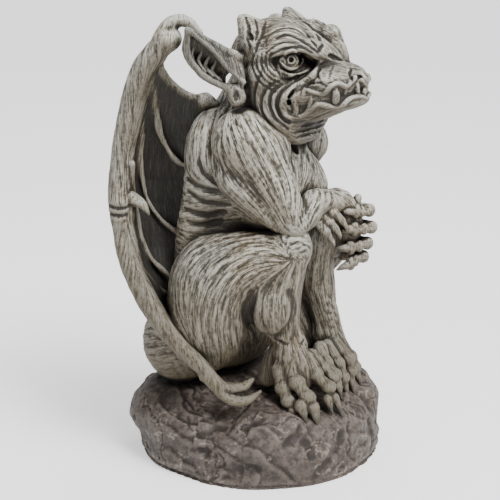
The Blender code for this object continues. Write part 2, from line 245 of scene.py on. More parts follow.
    def skin(self):
        """Corners and quads of the surface. Each cell that the surface crosses gets one
        corner, at the mean of the places where its edges cross it, and each crossed
        grid edge gets the quad of the four cells around it."""
        field = self.field
        inside = field < 0
        nx, ny, nz = field.shape
        cube = [(i, j, k) for i in (0, 1) for j in (0, 1) for k in (0, 1)]
        full = sum(inside[i:nx - 1 + i, j:ny - 1 + j, k:nz - 1 + k].astype(np.int8) for i, j, k in cube)
        crossed = (full > 0) & (full < 8)
        number = np.full(crossed.shape, -1, np.int32)
        cell = np.argwhere(crossed)
        number[crossed] = np.arange(len(cell))
        value = np.stack([field[cell[:, 0] + i, cell[:, 1] + j, cell[:, 2] + k] for i, j, k in cube], 1)
        place = np.array(cube, np.float32)
        total = np.zeros((len(cell), 3), np.float32)
        share = np.zeros(len(cell), np.float32)
        for a in range(8):
            for b in range(a + 1, 8):
                if np.abs(place[a] - place[b]).sum() != 1:
                    continue
                met = (value[:, a] < 0) != (value[:, b] < 0)
                t = np.where(met, value[:, a] / np.where(met, value[:, a] - value[:, b], 1), 0)
                total += met[:, None] * (place[a] + t[:, None] * (place[b] - place[a]))
                share += met
        corners = self.low + self.step * (cell + total / share[:, None])
        quads = []
        for axis in range(3):
            u, v = (axis + 1) % 3, (axis + 2) % 3
            near, far = [slice(1, -1)] * 3, [slice(1, -1)] * 3
            near[axis], far[axis] = slice(0, -1), slice(1, None)
            starts = inside[tuple(near)]
            edge = np.argwhere(starts != inside[tuple(far)])
            outward = starts[tuple(edge.T)]
            edge = edge + [0 if k == axis else 1 for k in range(3)]
            ring = []
            for du, dv in ((-1, -1), (0, -1), (0, 0), (-1, 0)):
                at = edge.copy()
                at[:, u] += du
                at[:, v] += dv
                ring.append(number[at[:, 0], at[:, 1], at[:, 2]])
            quad = np.stack(ring, 1)
            quad[~outward] = quad[~outward][:, ::-1]
            quads.append(quad)
        return corners, np.vstack(quads)


# Figure in millimetres: x to the figure's left, y to its back, z up.
TURN = math.radians(60.0)


def q(across, toward, up, radius=0.0):
    """A point laid out in the three-quarter view: across, toward the viewer, up, radius."""
    x = across * math.cos(TURN) - toward * math.sin(TURN)
    y = -across * math.sin(TURN) - toward * math.cos(TURN)
    return (x, y, up, radius)


def aim(direction, upward=(0.0, 0.0, 1.0)):
    """Own axes of a stretched ball: along the direction, sideways, and upward."""
    a = np.array(direction, float)
    a /= np.linalg.norm(a)
    b = np.cross(upward, a)
    b /= np.linalg.norm(b)
    return np.array([a, b, np.cross(a, b)])


BOTH = (-1, 1)


def balls(clay, rows):
    """Round masses in turn: centre, radii and softness of the join."""
    for centre, radii, soft in rows:
        clay.ball(centre, radii, soft=soft)


def lines(clay, rows, sides=BOTH):
    """Folds and carved lines laid in turn, each row being how it is made, its points
    and its measures."""
    for make, points, *measures in rows:
        make(clay, points, *measures, sides=sides)


def rock(clay):
    balls(clay, (
        ((1, -4, 5), (101, 99, 38), 0),
        ((0, -2, 28), (98, 95, 28), 16),
        ((-40, 54, 36), (46, 38, 26), 10),
        ((-70, 16, 32), (30, 40, 24), 8),
        ((46, -48, 34), (46, 40, 27), 10),
        ((-46, -40, 32), (44, 44, 28), 12),
        ((44, 46, 34), (46, 40, 25), 10),
        ((0, 30, 48), (68, 46, 20), 10),
        ((-14, -60, 32), (50, 34, 22), 10)))


# Facets of the rock, the share of a turn between them, their rise and how deep they cut.
FACETS = 60
FACET_TURN = 0.618
FACET_RISE = (-0.15, 0.9)
FACET_CUT = (1.0, 5.5)


def crags(clay):
    """Flat facets: planes that cut a few millimetres into the furthest reach of the
    rock in each direction, and two round shoulders under the feet."""
    dice = np.random.default_rng(5)
    edge = np.argwhere(np.abs(clay.field) < clay.step)[::7] * clay.step + clay.low
    for k in range(FACETS):
        turn = 2 * math.pi * (k * FACET_TURN % 1.0)
        rise = dice.uniform(*FACET_RISE)
        way = np.array([math.cos(turn) * math.cos(rise), math.sin(turn) * math.cos(rise), math.sin(rise)])
        clay.slice(way, (edge @ way).max() - dice.uniform(*FACET_CUT))
    clay.limb([q(45, 66, 24, 24), q(60, 50, 30, 24), q(66, 34, 32, 24)], soft=6)
    clay.limb([q(30, 76, 18, 22), q(40, 70, 22, 22)], soft=6)


def ledges(clay):
    """The larger cracks and ledges that run down the front of the rock."""
    for line, radius in (
            ([q(31, 84, 44), q(24, 86, 36), q(10, 90, 28), q(-6, 92, 18), q(-26, 90, 8)], 2.2),
            ([q(4, 86, 50), q(-10, 88, 44), q(-30, 82, 43), q(-40, 80, 36), q(-56, 70, 35)], 1.8),
            ([q(62, 70, 34), q(55, 76, 24), q(44, 82, 16), q(40, 84, 6)], 2.0),
            ([q(-30, 84, 26), q(-46, 78, 27), q(-62, 66, 20), q(-76, 50, 25), q(-88, 34, 20)], 2.4),
            ([q(84, 40, 36), q(86, 40, 26), q(92, 34, 16), q(88, 38, 6)], 2.0),
            ([q(20, 88, 40), q(34, 84, 30), q(38, 84, 20)], 1.6)):
        groove(clay, line, radius, 0.45, 3.5)


def torso(clay):
    balls(clay, (
        ((0, 30, 102), (60, 44, 42), 0),
        ((-46, 44, 92), (27, 32, 34), 8),
        ((46, 44, 92), (27, 32, 34), 8),
        ((0, 20, 155), (47, 36, 50), 16),
        ((-2, -2, 222), (44, 45, 44), 18),
        ((-24, -24, 214), (22, 24, 28), 8),
        ((20, -26, 212), (22, 24, 28), 8),
        ((-30, 22, 240), (24, 22, 38), 12),
        ((30, 22, 234), (24, 22, 38), 12)))
    clay.limb([(0, 58, 110, 12), (0, 52, 160, 11), (0, 43, 210, 11), (0, 37, 250, 10), (0, 22, 282, 10)],
            soft=12)
    clay.limb([(-30, 44, 140, 14), (-34, 38, 180, 14), (-34, 30, 214, 14)], soft=12)
    clay.limb([(30, 44, 140, 14), (34, 38, 180, 14), (34, 30, 210, 14)], soft=12)
    clay.limb([(0, 6, 250, 32), (0, -8, 272, 30), (0, -18, 292, 30)], soft=16)


def throat(clay):
    """The tendons under the jaw, the hollows between them and the folds of the flank."""
    groove(clay, [(29, 265.5), (26, 258.5), (29.5, 250.5)], 3.4, 0.8, 2.0)
    crease(clay, [(35.5, 272), (34, 263), (35.5, 253), (40, 243)], 2.6, 0.0, 3.0)
    crease(clay, [(45.5, 272), (46.5, 263), (45.5, 252), (44, 241.5)], 2.4, 0.0, 3.0)
    groove(clay, [(41, 269), (41.5, 265.5), (41.5, 262)], 2.8, 0.9, 1.0)
    groove(clay, [(40, 260.5), (39.5, 252), (41.5, 244.5)], 1.8, 0.7, 2.0)
    lines(clay, (
        (groove, [(-54.5, 231), (-46.5, 224.5), (-35.5, 220), (-23.5, 218.5)], 1.7, 0.45, 3.0),
        (groove, [(-52.5, 220), (-43.5, 213), (-33, 210), (-21.5, 209.5)], 1.5, 0.4, 3.0),
        (groove, [(-54.5, 205.5), (-46, 202.5), (-34, 201.5), (-25, 204)], 1.7, 0.4, 3.0),
        (groove, [(-53, 195.5), (-40.5, 194), (-27.5, 197)], 1.3, 0.4, 3.0),
        (groove, [(-44.5, 243), (-40.5, 234), (-32.5, 227), (-22, 223)], 1.6, 0.45, 3.0)))


# The way that the right thigh points.
RIGHT_THIGH = (0.52, -0.85, 0.0)


def leg_right(clay):
    clay.ball(q(-37, 38, 126), (32, 36, 50), aim(RIGHT_THIGH), soft=8)
    clay.ball(q(-44, 34, 112), (28, 34, 38), aim(RIGHT_THIGH), soft=8)
    clay.limb([q(-30, 36, 148, 36), q(-6, 42, 160, 28), q(14, 46, 170, 20), q(24, 48, 176, 16)], soft=10)
    clay.ball(q(27, 50, 180), (14, 13, 15), soft=6)
    clay.limb([q(22, 48, 172, 17), q(17, 50, 150, 18), q(14, 50, 130, 19), q(20, 48, 112, 13),
            q(26, 48, 98, 10.5)], soft=6)
    clay.ball(q(8, 54, 132), (16, 17, 21), soft=5)
    clay.limb([q(26, 48, 98, 11), q(27, 50, 84, 13), q(30, 54, 74, 13)], soft=6)
    clay.limb([q(22, 46, 98, 9), q(14, 40, 84, 9), q(10, 36, 68, 10)], soft=6)


def leg_lines(clay):
    """The mass behind the shins, the creases round the right calf, ankle and knee, and
    the ruff down the left shin."""
    clay.limb([q(34, -14, 155, 12), q(34, -14, 120, 12), q(34, -10, 85, 14)], soft=6)
    groove(clay, [q(22, 62, 147), q(26, 61, 130), q(20, 62, 114), q(8, 62, 106), q(-4, 60, 110)], 2.4, 0.5,
            4.0)
    groove(clay, [q(-1, 56, 166), q(-6, 60, 150), q(-8, 62, 130), q(-6, 60, 112)], 3.2, 0.45, 5.0)
    for k in range(5):
        ring = [q(12, 58, 106 - 5 * k), q(22, 62, 103 - 5 * k), q(31, 60, 101 - 5 * k),
                q(37, 52, 105 - 5 * k)]
        groove(clay, ring, 1.2, 0.7)
    for k in range(9):
        up = 118 - 6.5 * k
        out = 60 + 1.5 * k
        clay.limb([q(out - 5, 4, up + 4, 4.5), q(out + 1, 3, up - 1, 3.2), q(out + 5, 3, up - 6, 1.0)],
                soft=1.5)


CLAWS = []


def toe(clay, points, tips, claw=4.8):
    """A toe or finger: knuckles swelling out of a thinner bone, each claw from its
    own raised cuff."""
    clay.limb(points, soft=2.5)
    for p in points[1:]:
        clay.ball(p[:3], (p[3] * 1.32, p[3] * 1.32, p[3] * 1.2), soft=1.0)
    for base, tip in tips:
        b, t = np.array(base[:3]), np.array(tip[:3])
        clay.ball(base[:3], claw * 1.15, soft=1.0)
        CLAWS.append(tuple(0.15 * b + 0.85 * t))
        CLAWS.append(tuple(0.45 * b + 0.55 * t))
        middle = b * 0.5 + t * 0.5 + np.array([0.0, 0.0, 1.2])
        clay.limb([tuple(b) + (claw,), tuple(middle) + (claw * 0.72,), tuple(t) + (0.8,)], soft=0.3,
                steps=3)


def foot_right(clay):
    clay.limb([q(25, 52, 92, 11), q(32, 54, 84, 11), q(40, 52, 80, 9)], soft=6)
    toe(clay, [q(26, 58, 84, 7), q(30, 68, 75, 5.4), q(38, 74, 65, 5.2)],
        [(q(42, 77, 58), q(46, 80, 43)), (q(33, 79, 60), q(37, 84, 48))])
    toe(clay, [q(38, 52, 88, 6.5), q(45, 58, 78, 4.8), q(55, 62, 69, 4.6)],
        [(q(59, 64, 61), q(66, 66, 45)), (q(54, 67, 61), q(58, 70, 49))], 3.6)
    toe(clay, [q(42, 44, 88, 6), q(51, 46, 79, 4.6), q(58, 50, 72, 4.2)], [(q(62, 52, 66), q(66, 54, 55))],
            3.2)
    toe(clay, [q(18, 56, 82, 7), q(20, 66, 70, 5.4), q(24, 72, 61, 4.8)], [(q(27, 76, 55), q(31, 80, 44))],
            3.6)


def leg_left(clay):
    clay.ball((50, 14, 122), (30, 38, 48), aim((0.2, -1.0, 0.1)), soft=8)
    clay.limb([(48, 12, 146, 32), (40, -10, 156, 27), (32, -28, 166, 20), (27, -36, 170, 16)], soft=10)
    clay.ball((26, -39, 171), (13, 13, 15), soft=6)
    clay.limb([(26, -38, 166, 16), (29, -38, 142, 15), (30, -42, 122, 13), (29, -46, 106, 10.5),
            (30, -48, 92, 10)], soft=6)
    clay.ball((38, -30, 128), (14, 16, 20), soft=6)
    clay.limb([(30, -48, 92, 10.5), (31, -52, 82, 12), (32, -58, 72, 12)], soft=6)
    clay.limb([(34, -44, 94, 9), (40, -34, 80, 9), (42, -26, 66, 10)], soft=6)


def foot_left(clay):
    clay.limb([(30, -48, 90, 11), (29, -54, 82, 10), (28, -58, 76, 8)], soft=6)
    toe(clay, [q(50, 26, 88, 6), q(54, 34, 79, 4.8), q(61, 38, 70, 4.6)], [(q(63, 40, 64), q(66, 42, 54))],
            3.4)
    toe(clay, [q(56, 16, 86, 6), q(64, 25, 75, 5), q(68, 28, 64, 4.8)],
        [(q(69, 29, 58), q(73, 31, 46)), (q(64, 33, 58), q(67, 36, 48))], 3.6)
    toe(clay, [q(62, 8, 86, 6), q(73, 14, 75, 4.8), q(75, 15, 65, 4.6)], [(q(75, 16, 59), q(78, 20, 47))],
            3.4)
    toe(clay, [q(64, -2, 84, 6), q(76, 0, 72, 4.8), q(80, 0, 63, 4.4)], [(q(81, 2, 58), q(85, 6, 47))], 3.2)


def arm_right(clay):
    clay.ball(q(-4, 36, 254), (29, 27, 28), aim((0.5, -0.87, -0.3)), soft=8)
    clay.limb([q(-10, 36, 256, 24), q(2, 44, 240, 20), q(14, 49, 222, 16), q(24, 53, 206, 11),
            q(29, 54, 196, 8)], soft=8)
    clay.limb([q(-24, 32, 240, 14), q(-14, 42, 226, 15), q(2, 48, 212, 13), q(16, 52, 200, 10),
            q(27, 54, 192, 7)], soft=4)
    clay.ball(q(27, 54, 194), (8, 8, 7), soft=3)
    clay.limb([q(27, 53, 195, 9), q(35, 44, 201, 11.5), q(41, 35, 207, 11.5), q(50, 22, 207, 9.5),
            q(60, 12, 204, 9)], soft=5)


def arm_left(clay):
    clay.ball((38, -20, 246), (19, 21, 20), soft=8)
    clay.limb([(42, -14, 246, 19), (52, -6, 222, 17), (58, -6, 192, 16), (58, -14, 164, 13),
            (55, -24, 142, 11)], soft=8)
    clay.ball((54, -25, 136), (10, 11, 10), soft=4)
    clay.limb([(54, -26, 136, 10), (52, -36, 148, 11), (47, -48, 162, 11), (42, -58, 176, 9)], soft=4)


def hands(clay):
    clay.ball(q(71, -1, 183), (13, 11, 21), aim((0.5, -0.87, 0.0)), soft=4)
    clay.ball(q(62, 6, 203), (13, 11, 10.5), aim((0.5, -0.87, 0.1)), soft=4)
    clay.limb([q(56, 10, 206, 8), q(64, 10, 208, 6.5), q(71, 10, 204, 5), q(76, 9, 198, 3.6)], soft=3)
    clay.limb([q(76, 6, 197, 4.4), q(78, 6, 203, 3.8), q(79, 6, 206, 3.4)], soft=0.8)
    for bone, cuff, tip in [((89, 195), (77.5, 196.5), (64, 196)), ((91, 181), (76.5, 182), (62, 181)),
                            ((88, 168), (73.5, 166.5), (62, 166.5)), ((85, 157), (74, 154), (63, 149))]:
        clay.limb([q(bone[0] - 15, -8, bone[1], 6), q(bone[0] - 5, -5, bone[1], 4.6),
                q(bone[0], 0, bone[1], 4.4),
                   q(bone[0] - 5, 6, bone[1], 3.6), q(cuff[0], 10, cuff[1], 3.8)], soft=1.2)
        clay.ball(q(bone[0] - 0.5, 1, bone[1]), (5.2, 5.2, 5.4), soft=0.8)
        clay.ball(q(bone[0] - 7, 8, (bone[1] * 0.6 + cuff[1] * 0.4)), (3.4, 3.4, 5.0), soft=0.8)
        clay.ball(q(cuff[0], 10, cuff[1]), (4.0, 4.0, 6.0), soft=0.6)
        clay.limb([q(cuff[0], 10, cuff[1], 3.8), q(cuff[0] * 0.5 + tip[0] * 0.5, 14,
                cuff[1] * 0.5 + tip[1] * 0.5 + 0.8, 2.9),
                   q(tip[0], 13, tip[1], 0.8)], soft=0.4, steps=3)
    # The right hand's fingers, slanting down over the left palm.
    for root, knuckle, tip in [((50, 20, 203), (58, 20, 198), (66, 17, 190)),
            ((48, 22, 197), (55, 22, 191), (61, 20, 184)),
                               ((47, 24, 190), (52, 24, 184), (56, 22, 178))]:
        clay.limb([q(*root, 4.6), q(*knuckle, 4.2), q(*tip, 3.2)], soft=1.2)
        clay.ball(q(*knuckle), (4.9, 4.9, 4.9), soft=0.8)
        clay.limb([q(*tip, 2.8), q(tip[0] + 3, tip[1] + 1, tip[2] - 4, 1.8),
                q(tip[0] + 4, tip[1], tip[2] - 8, 0.7)], soft=0.4)
    clay.ball(q(60, -3, 170), (12, 10, 15), soft=4)


def wing_place(side, slip, drop):
    """Lays out a wing's points: the left one mirrored, and a little lower and further back."""
    def p(across, toward, up, radius=0.0):
        x, y, z, r = q(across, toward, up, radius)
        lift = min(max((z - 235.0) / 60.0, 0.0), 1.0)
        return (x * -side, y - slip * lift, z - drop * lift, r)
    return p


def wing_bones(clay, side, slip, drop):
    p = wing_place(side, slip, drop)
    lead = [p(-66, 42, 334, 8), p(-74, 40, 326, 8.5), p(-84, 34, 313, 9), p(-92, 26, 294, 9.5),
            p(-98, 20, 270, 9.5),
            p(-104, 14, 244, 9), p(-107, 13, 216, 9.5), p(-106, 15, 202, 10.5), p(-105, 18, 186, 9),
            p(-100, 28, 164, 9), p(-90, 42, 143, 8.5), p(-76, 56, 123, 8), p(-58, 68, 104, 7),
            p(-42, 76, 90, 6),
            p(-32, 80, 80, 5)]
    clay.limb(lead, soft=3)
    clay.ball(lead[0], (10, 10, 9), soft=4)
    # Thumb hook over the wrist.
    clay.limb([p(-70, 40, 334, 7), p(-66, 40, 343, 5.5), p(-58, 40, 347, 5), p(-50, 40, 345, 4.2),
            p(-43, 40, 338, 3)], soft=3)
    # Claws at the rock.
    clay.limb([p(-40, 78, 84, 5), p(-26, 80, 76, 4.5), p(-12, 76, 74, 4), p(-4, 70, 78, 2)], soft=2)
    clay.limb([p(-36, 78, 80, 4.5), p(-22, 84, 68, 4), p(-8, 82, 66, 3.5), p(2, 74, 70, 1.6)], soft=2)
    # Spur at the middle joint.
    clay.limb([p(-98, 18, 208, 6), p(-90, 22, 205, 4), p(-84, 24, 197, 1.2)], soft=2)
    for line in (
            [p(-80, 28, 300, 2.4), p(-78, 15, 280, 2.2), p(-77, 8, 264, 3.2), p(-74, 4, 252, 2.0),
             p(-70, 1, 244, 1.8),
             p(-65, -1, 236, 2.4), p(-58, -1, 231, 1.6), p(-51, 1, 233, 0.7)],
            [p(-88, 24, 286, 2.6), p(-90, 10, 258, 2.0), p(-92, 4, 236, 3.0), p(-90, 0, 214, 2.0),
             p(-86, -2, 200, 1.8),
             p(-76, -2, 186, 1.8), p(-64, 0, 177, 2.6), p(-55, 3, 175, 1.6), p(-45, 6, 180, 0.7)],
            [p(-97, 18, 236, 2.6), p(-97, 12, 214, 2.0), p(-95, 10, 190, 3.0), p(-91, 12, 174, 2.0),
             p(-84, 14, 159, 1.8),
             p(-74, 16, 149, 2.5), p(-67, 19, 145, 1.6), p(-58, 22, 148, 0.7)],
            [p(-90, 26, 150, 2.4), p(-82, 22, 140, 2.0), p(-74, 22, 134, 2.2), p(-66, 24, 132, 0.7)]):
        clay.limb(line, soft=1.5)
    clay.limb([p(-40, 10, 284, 6), p(-36, 4, 276, 8), p(-34, 2, 262, 9)], soft=5)
    clay.limb([p(-46, 9, 285, 2), p(-58, 14, 291, 2), p(-68, 24, 302, 2.4), p(-73, 34, 313, 3),
            p(-70, 40, 326, 5)], soft=2)


def wing(clay, side, slip, drop):
    p = wing_place(side, slip, drop)
    rows = [
        [p(-72, 34, 312), p(-66, 22, 300), p(-54, 12, 289), p(-40, 8, 284)],
        [p(-90, 24, 286), p(-76, 10, 276), p(-60, 4, 268), p(-42, 6, 264)],
        [p(-97, 17, 264), p(-82, 2, 258), p(-64, -4, 252), p(-44, 2, 248)],
        [p(-101, 12, 240), p(-86, -4, 236), p(-68, -9, 234), p(-44, -2, 234)],
        [p(-102, 10, 222), p(-90, -7, 219), p(-72, -12, 218), p(-42, -6, 217)],
        [p(-102, 12, 202), p(-90, -6, 200), p(-72, -12, 199), p(-42, -4, 199)],
        [p(-100, 16, 184), p(-86, -2, 180), p(-68, -8, 178), p(-42, 0, 178)],
        [p(-97, 22, 170), p(-86, 2, 166), p(-68, -3, 163), p(-44, 4, 161)],
        [p(-92, 30, 154), p(-82, 10, 149), p(-66, 4, 146), p(-46, 10, 144)],
        [p(-84, 40, 138), p(-78, 24, 134), p(-68, 16, 131), p(-52, 20, 129)],
        [p(-72, 50, 122), p(-68, 38, 117), p(-60, 32, 113), p(-50, 34, 110)],
        [p(-56, 62, 104), p(-54, 54, 100), p(-50, 48, 96), p(-44, 50, 94)],
    ]
    clay.sheet([[s[:3] for s in smooth_path(r, 3)] for r in rows], 2.1, soft=4)
    wing_bones(clay, side, slip, drop)


def wing_lines(clay, side, slip, drop):
    """Long furrows in the leading bone, the crease at its joint, and slack folds in the membrane."""
    p = wing_place(side, slip, drop)
    for shift in (-7.0, -3.0, 1.5, 6.0):
        groove(clay, [p(-70 + shift, 54, 328), p(-84 + shift, 46, 310), p(-94 + shift, 36, 282),
                p(-101 + shift, 28, 250),
                      p(-105 + shift, 26, 216)], 1.3, 0.7)
        groove(clay, [p(-103 + shift, 30, 190), p(-98 + shift, 40, 166), p(-88 + shift, 54, 144),
                p(-74 + shift, 66, 124),
                      p(-56 + shift, 76, 106)], 1.2, 0.7)
    for up in (203, 197):
        groove(clay, [p(-116, 16, up)[:3], p(-108, 27, up - 1)[:3], p(-98, 28, up)[:3]], 1.2, 0.6)


def ear(clay, side):
    def p(x, y, z, r=0.0):
        return (x, y, z, r) if side < 0 else (-x, y, z, r)
    front = [p(-50, -6, 298), p(-58, 2, 302), p(-67, 10, 310), p(-74, 16, 324), p(-76, 15, 340)]
    between = [p(-47, 2, 300), p(-55, 10, 306), p(-65, 18, 314), p(-73, 20, 327), p(-76, 15, 341)]
    floor = [p(-44, 4, 306), p(-51, 11, 311), p(-61, 19, 321), p(-70, 20, 331), p(-75, 16, 341)]
    upper = [p(-38, -8, 320), p(-48, -4, 324), p(-58, 5, 331), p(-67, 11, 337), p(-76, 15, 342)]
    brim = [p(-46, -15, 303), p(-54, -6, 313), p(-61, 1, 325), p(-69, 9, 335), p(-76, 14, 341)]
    clay.sheet([[s[:3] for s in smooth_path(r, 3)] for r in (front, between, floor, upper)], 1.8, soft=2)
    clay.sheet([[s[:3] for s in smooth_path(r, 3)] for r in (upper, brim)], 1.6, soft=1.5)
    clay.limb([p(-44, -10, 291, 4), p(-50, -6, 298, 2.6), p(-58, 2, 302, 2.2), p(-67, 10, 310, 2.2),
            p(-74, 16, 324, 2.0), p(-76, 15, 340, 1.8)], soft=2)
    clay.limb([p(-38, -8, 320, 5), p(-48, -4, 324, 3), p(-58, 5, 331, 2.6), p(-67, 11, 337, 2.4),
            p(-76, 15, 342, 2)], soft=2)
    clay.limb([p(-46, -15, 303, 1.6), p(-54, -6, 313, 1.4), p(-61, 1, 325, 1.4), p(-69, 9, 335, 1.4),
            p(-76, 14, 341, 1.5)], soft=1)
    # Curled lobe and the ribs inside.
    clay.ball(p(-47, -9, 293), (6, 6.5, 9), soft=6)
    clay.ball(p(-53, -12, 293), (3, 3, 5), soft=1.5, cut=True)
    for k in range(4):
        clay.limb([p(-54 - 4.4 * k, 0 + 4.4 * k, 304 + 3.4 * k, 1.2),
                p(-56 - 3.6 * k, 7 + 3.6 * k, 310 + 4.2 * k, 1.8),
                   p(-52 - 4.6 * k, 5 + 3.6 * k, 318 + 3.6 * k, 1.2)], soft=1.2)


def sighted(clay, points):
    """Where the lines of sight through places across and up, in the plane 45 mm
    toward the viewer, first meet the clay."""
    eye = np.array(q(-5, 1019, 434)[:3])
    way = np.array([q(u, 45, z)[:3] for u, z in points]) - eye
    way /= np.linalg.norm(way, axis=1, keepdims=True)
    spots = eye + 880.0 * way
    for _ in range(200):
        spots += np.clip(clay.depth(spots), 0.0, 1.6)[:, None] * way
    return spots


def laid(clay, points, lift, side):
    """A smooth line on the surface, in continuous runs. Points with two numbers are
    given as seen; those with three are settled where they are."""
    path = smooth_path([p[:3] for p in points], 4)
    if path.shape[1] == 2:
        path = sighted(clay, path)
    path = clay.settle(path * (-side, 1.0, 1.0), lift)
    path = path[np.abs(clay.depth(path) - lift) < 1.5]
    gaps = np.linalg.norm(np.diff(path, axis=0), axis=1) > 5.0
    return [run for run in np.split(path, np.flatnonzero(gaps) + 1) if len(run) > 3]


def groove(clay, points, radius, depth=0.6, soft=1.0, sides=(-1,)):
    """A carved line laid on the surface, this share of its radius deep."""
    for side in sides:
        for path in laid(clay, points, radius * (1 - 2 * depth), side):
            ends = np.sin(np.linspace(0.25, math.pi - 0.25, len(path))) ** 0.4
            clay.limb([tuple(p) + (radius * e,) for p, e in zip(path, ends)], soft=soft, cut=True, steps=2)


def crease(clay, points, radius, lift=0.0, soft=2.0, sides=(-1,)):
    """A raised fold laid along the surface."""
    for side in sides:
        for path in laid(clay, points, lift * radius, side):
            ends = np.sin(np.linspace(0.2, math.pi - 0.2, len(path))) ** 0.4
            clay.limb([tuple(p) + (radius * e,) for p, e in zip(path, ends)], soft=soft, steps=2)


def head(clay):
    # Skull, cheeks and muzzle.
    clay.ball((0, -16, 315), (39, 34, 32), soft=0)
    clay.ball((0, -26, 297), (42, 35, 27), soft=10)
    clay.ball((0, -62, 304), (19, 23, 12), soft=8)
    clay.ball((0, -84.5, 304), (9.5, 8, 7), soft=3)
    # Lower jaw, jutting forward and up, with its jowls.
    clay.ball((0, -52, 282), (34, 30, 11), aim((0.0, -1.0, 0.30)), soft=8)
    clay.ball((0, -77, 289.5), (23, 15.5, 7.5), aim((1.0, 0.0, 0.0)), soft=5)
    for s in (-1, 1):
        clay.ball((s * 27, -33, 279), (15, 18, 18), soft=8)
        clay.ball((s * 13, -69, 303), (17, 19, 11.5), aim((s * 0.25, -1.0, -0.05)), soft=6)
        clay.ball((s * 9, -80, 302), (8, 7, 6), soft=4)
        clay.limb([(s * 34, -46, 292, 7), (s * 27, -57, 295, 8), (s * 20, -66, 294, 7),
                (s * 12, -76, 298, 5)], soft=5)
    # Throat folds.
    clay.limb([(-22, -36, 264, 9), (-12, -40, 262, 9), (0, -42, 262, 9), (12, -40, 262, 9),
            (22, -36, 264, 9)], soft=8)
    for s in (-1, 1):
        # Forehead boss, brow, eye hollow and eye.
        clay.ball((s * 20, -35, 331), (19, 16, 14), soft=6)
        clay.limb([(s * 40, -24, 322, 5), (s * 35, -40, 327, 6.5), (s * 25, -51, 328, 7.5),
                (s * 14, -60, 324, 8), (s * 5, -63, 319, 6)], soft=5)
        clay.ball((s * 37, -27, 309), (9, 13, 10), soft=6)
        clay.limb([(s * 37, -39, 318, 5), (s * 28, -49, 319, 8), (s * 20, -57, 317, 4)], soft=2.5, cut=True)
        clay.ball((s * 27, -40.5, 318.5), (8.8, 8.8, 8.8), soft=0.6)
        # Horn, a broad blunt wedge rising from the brow.
        clay.limb([(s * 31, -20, 325, 12), (s * 33.5, -13, 337, 9), (s * 35, -6, 348, 3)], soft=4)
        clay.limb([(s * 17, -18, 334, 10), (s * 26, -14, 341, 7), (s * 33, -9, 347, 4)], soft=4)
        clay.ball((s * 38, -17, 331), (6, 7, 7), soft=3)
    clay.limb([(0, -46, 331, 7), (0, -58, 323, 7), (0, -66, 313, 7), (0, -75, 307, 5)], soft=4)
    # The left brow's knob and overhang, and the small horn above it.
    clay.ball((18, -53, 333), (9, 9, 9), soft=4)
    clay.ball((14, -62, 318), (9, 8.5, 7), soft=4)
    clay.limb([(14, -36, 338, 5), (15, -40, 345, 1.5)], soft=2)
    clay.limb([(35, -7, 349, 3), (31, -18, 344, 4), (27, -27, 338, 5)], soft=3)


def mouth(clay):
    """The scowling mouth: teeth, thin wavy lips and the dark gap between them."""
    teeth = []
    for base, tip, size in (((28, 280), (28, 293.5), 2.6),
                            ((38.5, 283.5), (39.5, 292), 2.2),
                            ((58, 289), (57, 300.5), 3.1),
                            ((73.5, 293.5), (73.5, 303.5), 2.4),
                            ((78.5, 293.5), (78.5, 299.5), 2),
                            ((34, 296), (33.5, 290), 1.8),
                            ((65, 296.5), (64.5, 292), 1.5)):
        spots = sighted(clay, [base, tip])
        if np.linalg.norm(spots[1] - spots[0]) < 20:
            teeth += [(spots * (-side, 1.0, 1.0), size) for side in (-1, 1)]
    lines(clay, (
        (crease, [(26, 296.5), (33.5, 297.5), (39.5, 295.5), (49, 294.5), (54, 299.5), (59.5, 301.5),
         (65, 299.5), (69, 303), (72.5, 306), (76.5, 304), (79.5, 300.5)], 2.0, 0.2, 1.0),
        (crease, [(19.5, 285), (21.5, 279), (28, 276.5), (35, 279), (40, 283.5), (44.5, 286.5), (52, 285),
         (61, 284.5), (66.5, 289), (71, 291), (76.5, 291.5), (80, 290.5)], 2.3, 0.2, 1.0),
        (groove, [(25.5, 294.5), (23, 288), (25.5, 283), (30.5, 283.5), (35.5, 288)], 4.2, 1.0, 0.8),
        (groove, [(26, 291.5), (24.5, 286.5), (27.5, 283.5), (32.5, 286)], 3.0, 1.0, 0.8),
        (groove, [(31, 288), (36.5, 289.5), (42.5, 290.5), (50.5, 290), (58, 292), (64, 293.5), (68, 296.5),
         (73.5, 297.5), (78, 296), (80, 295)], 2.6, 1.0, 0.6)))
    for (base, tip), size in teeth:
        middle = base * 0.5 + tip * 0.5
        clay.limb([tuple(base) + (size,), tuple(middle) + (size * 0.85,), tuple(tip) + (0.6,)], soft=0.4,
                steps=3)


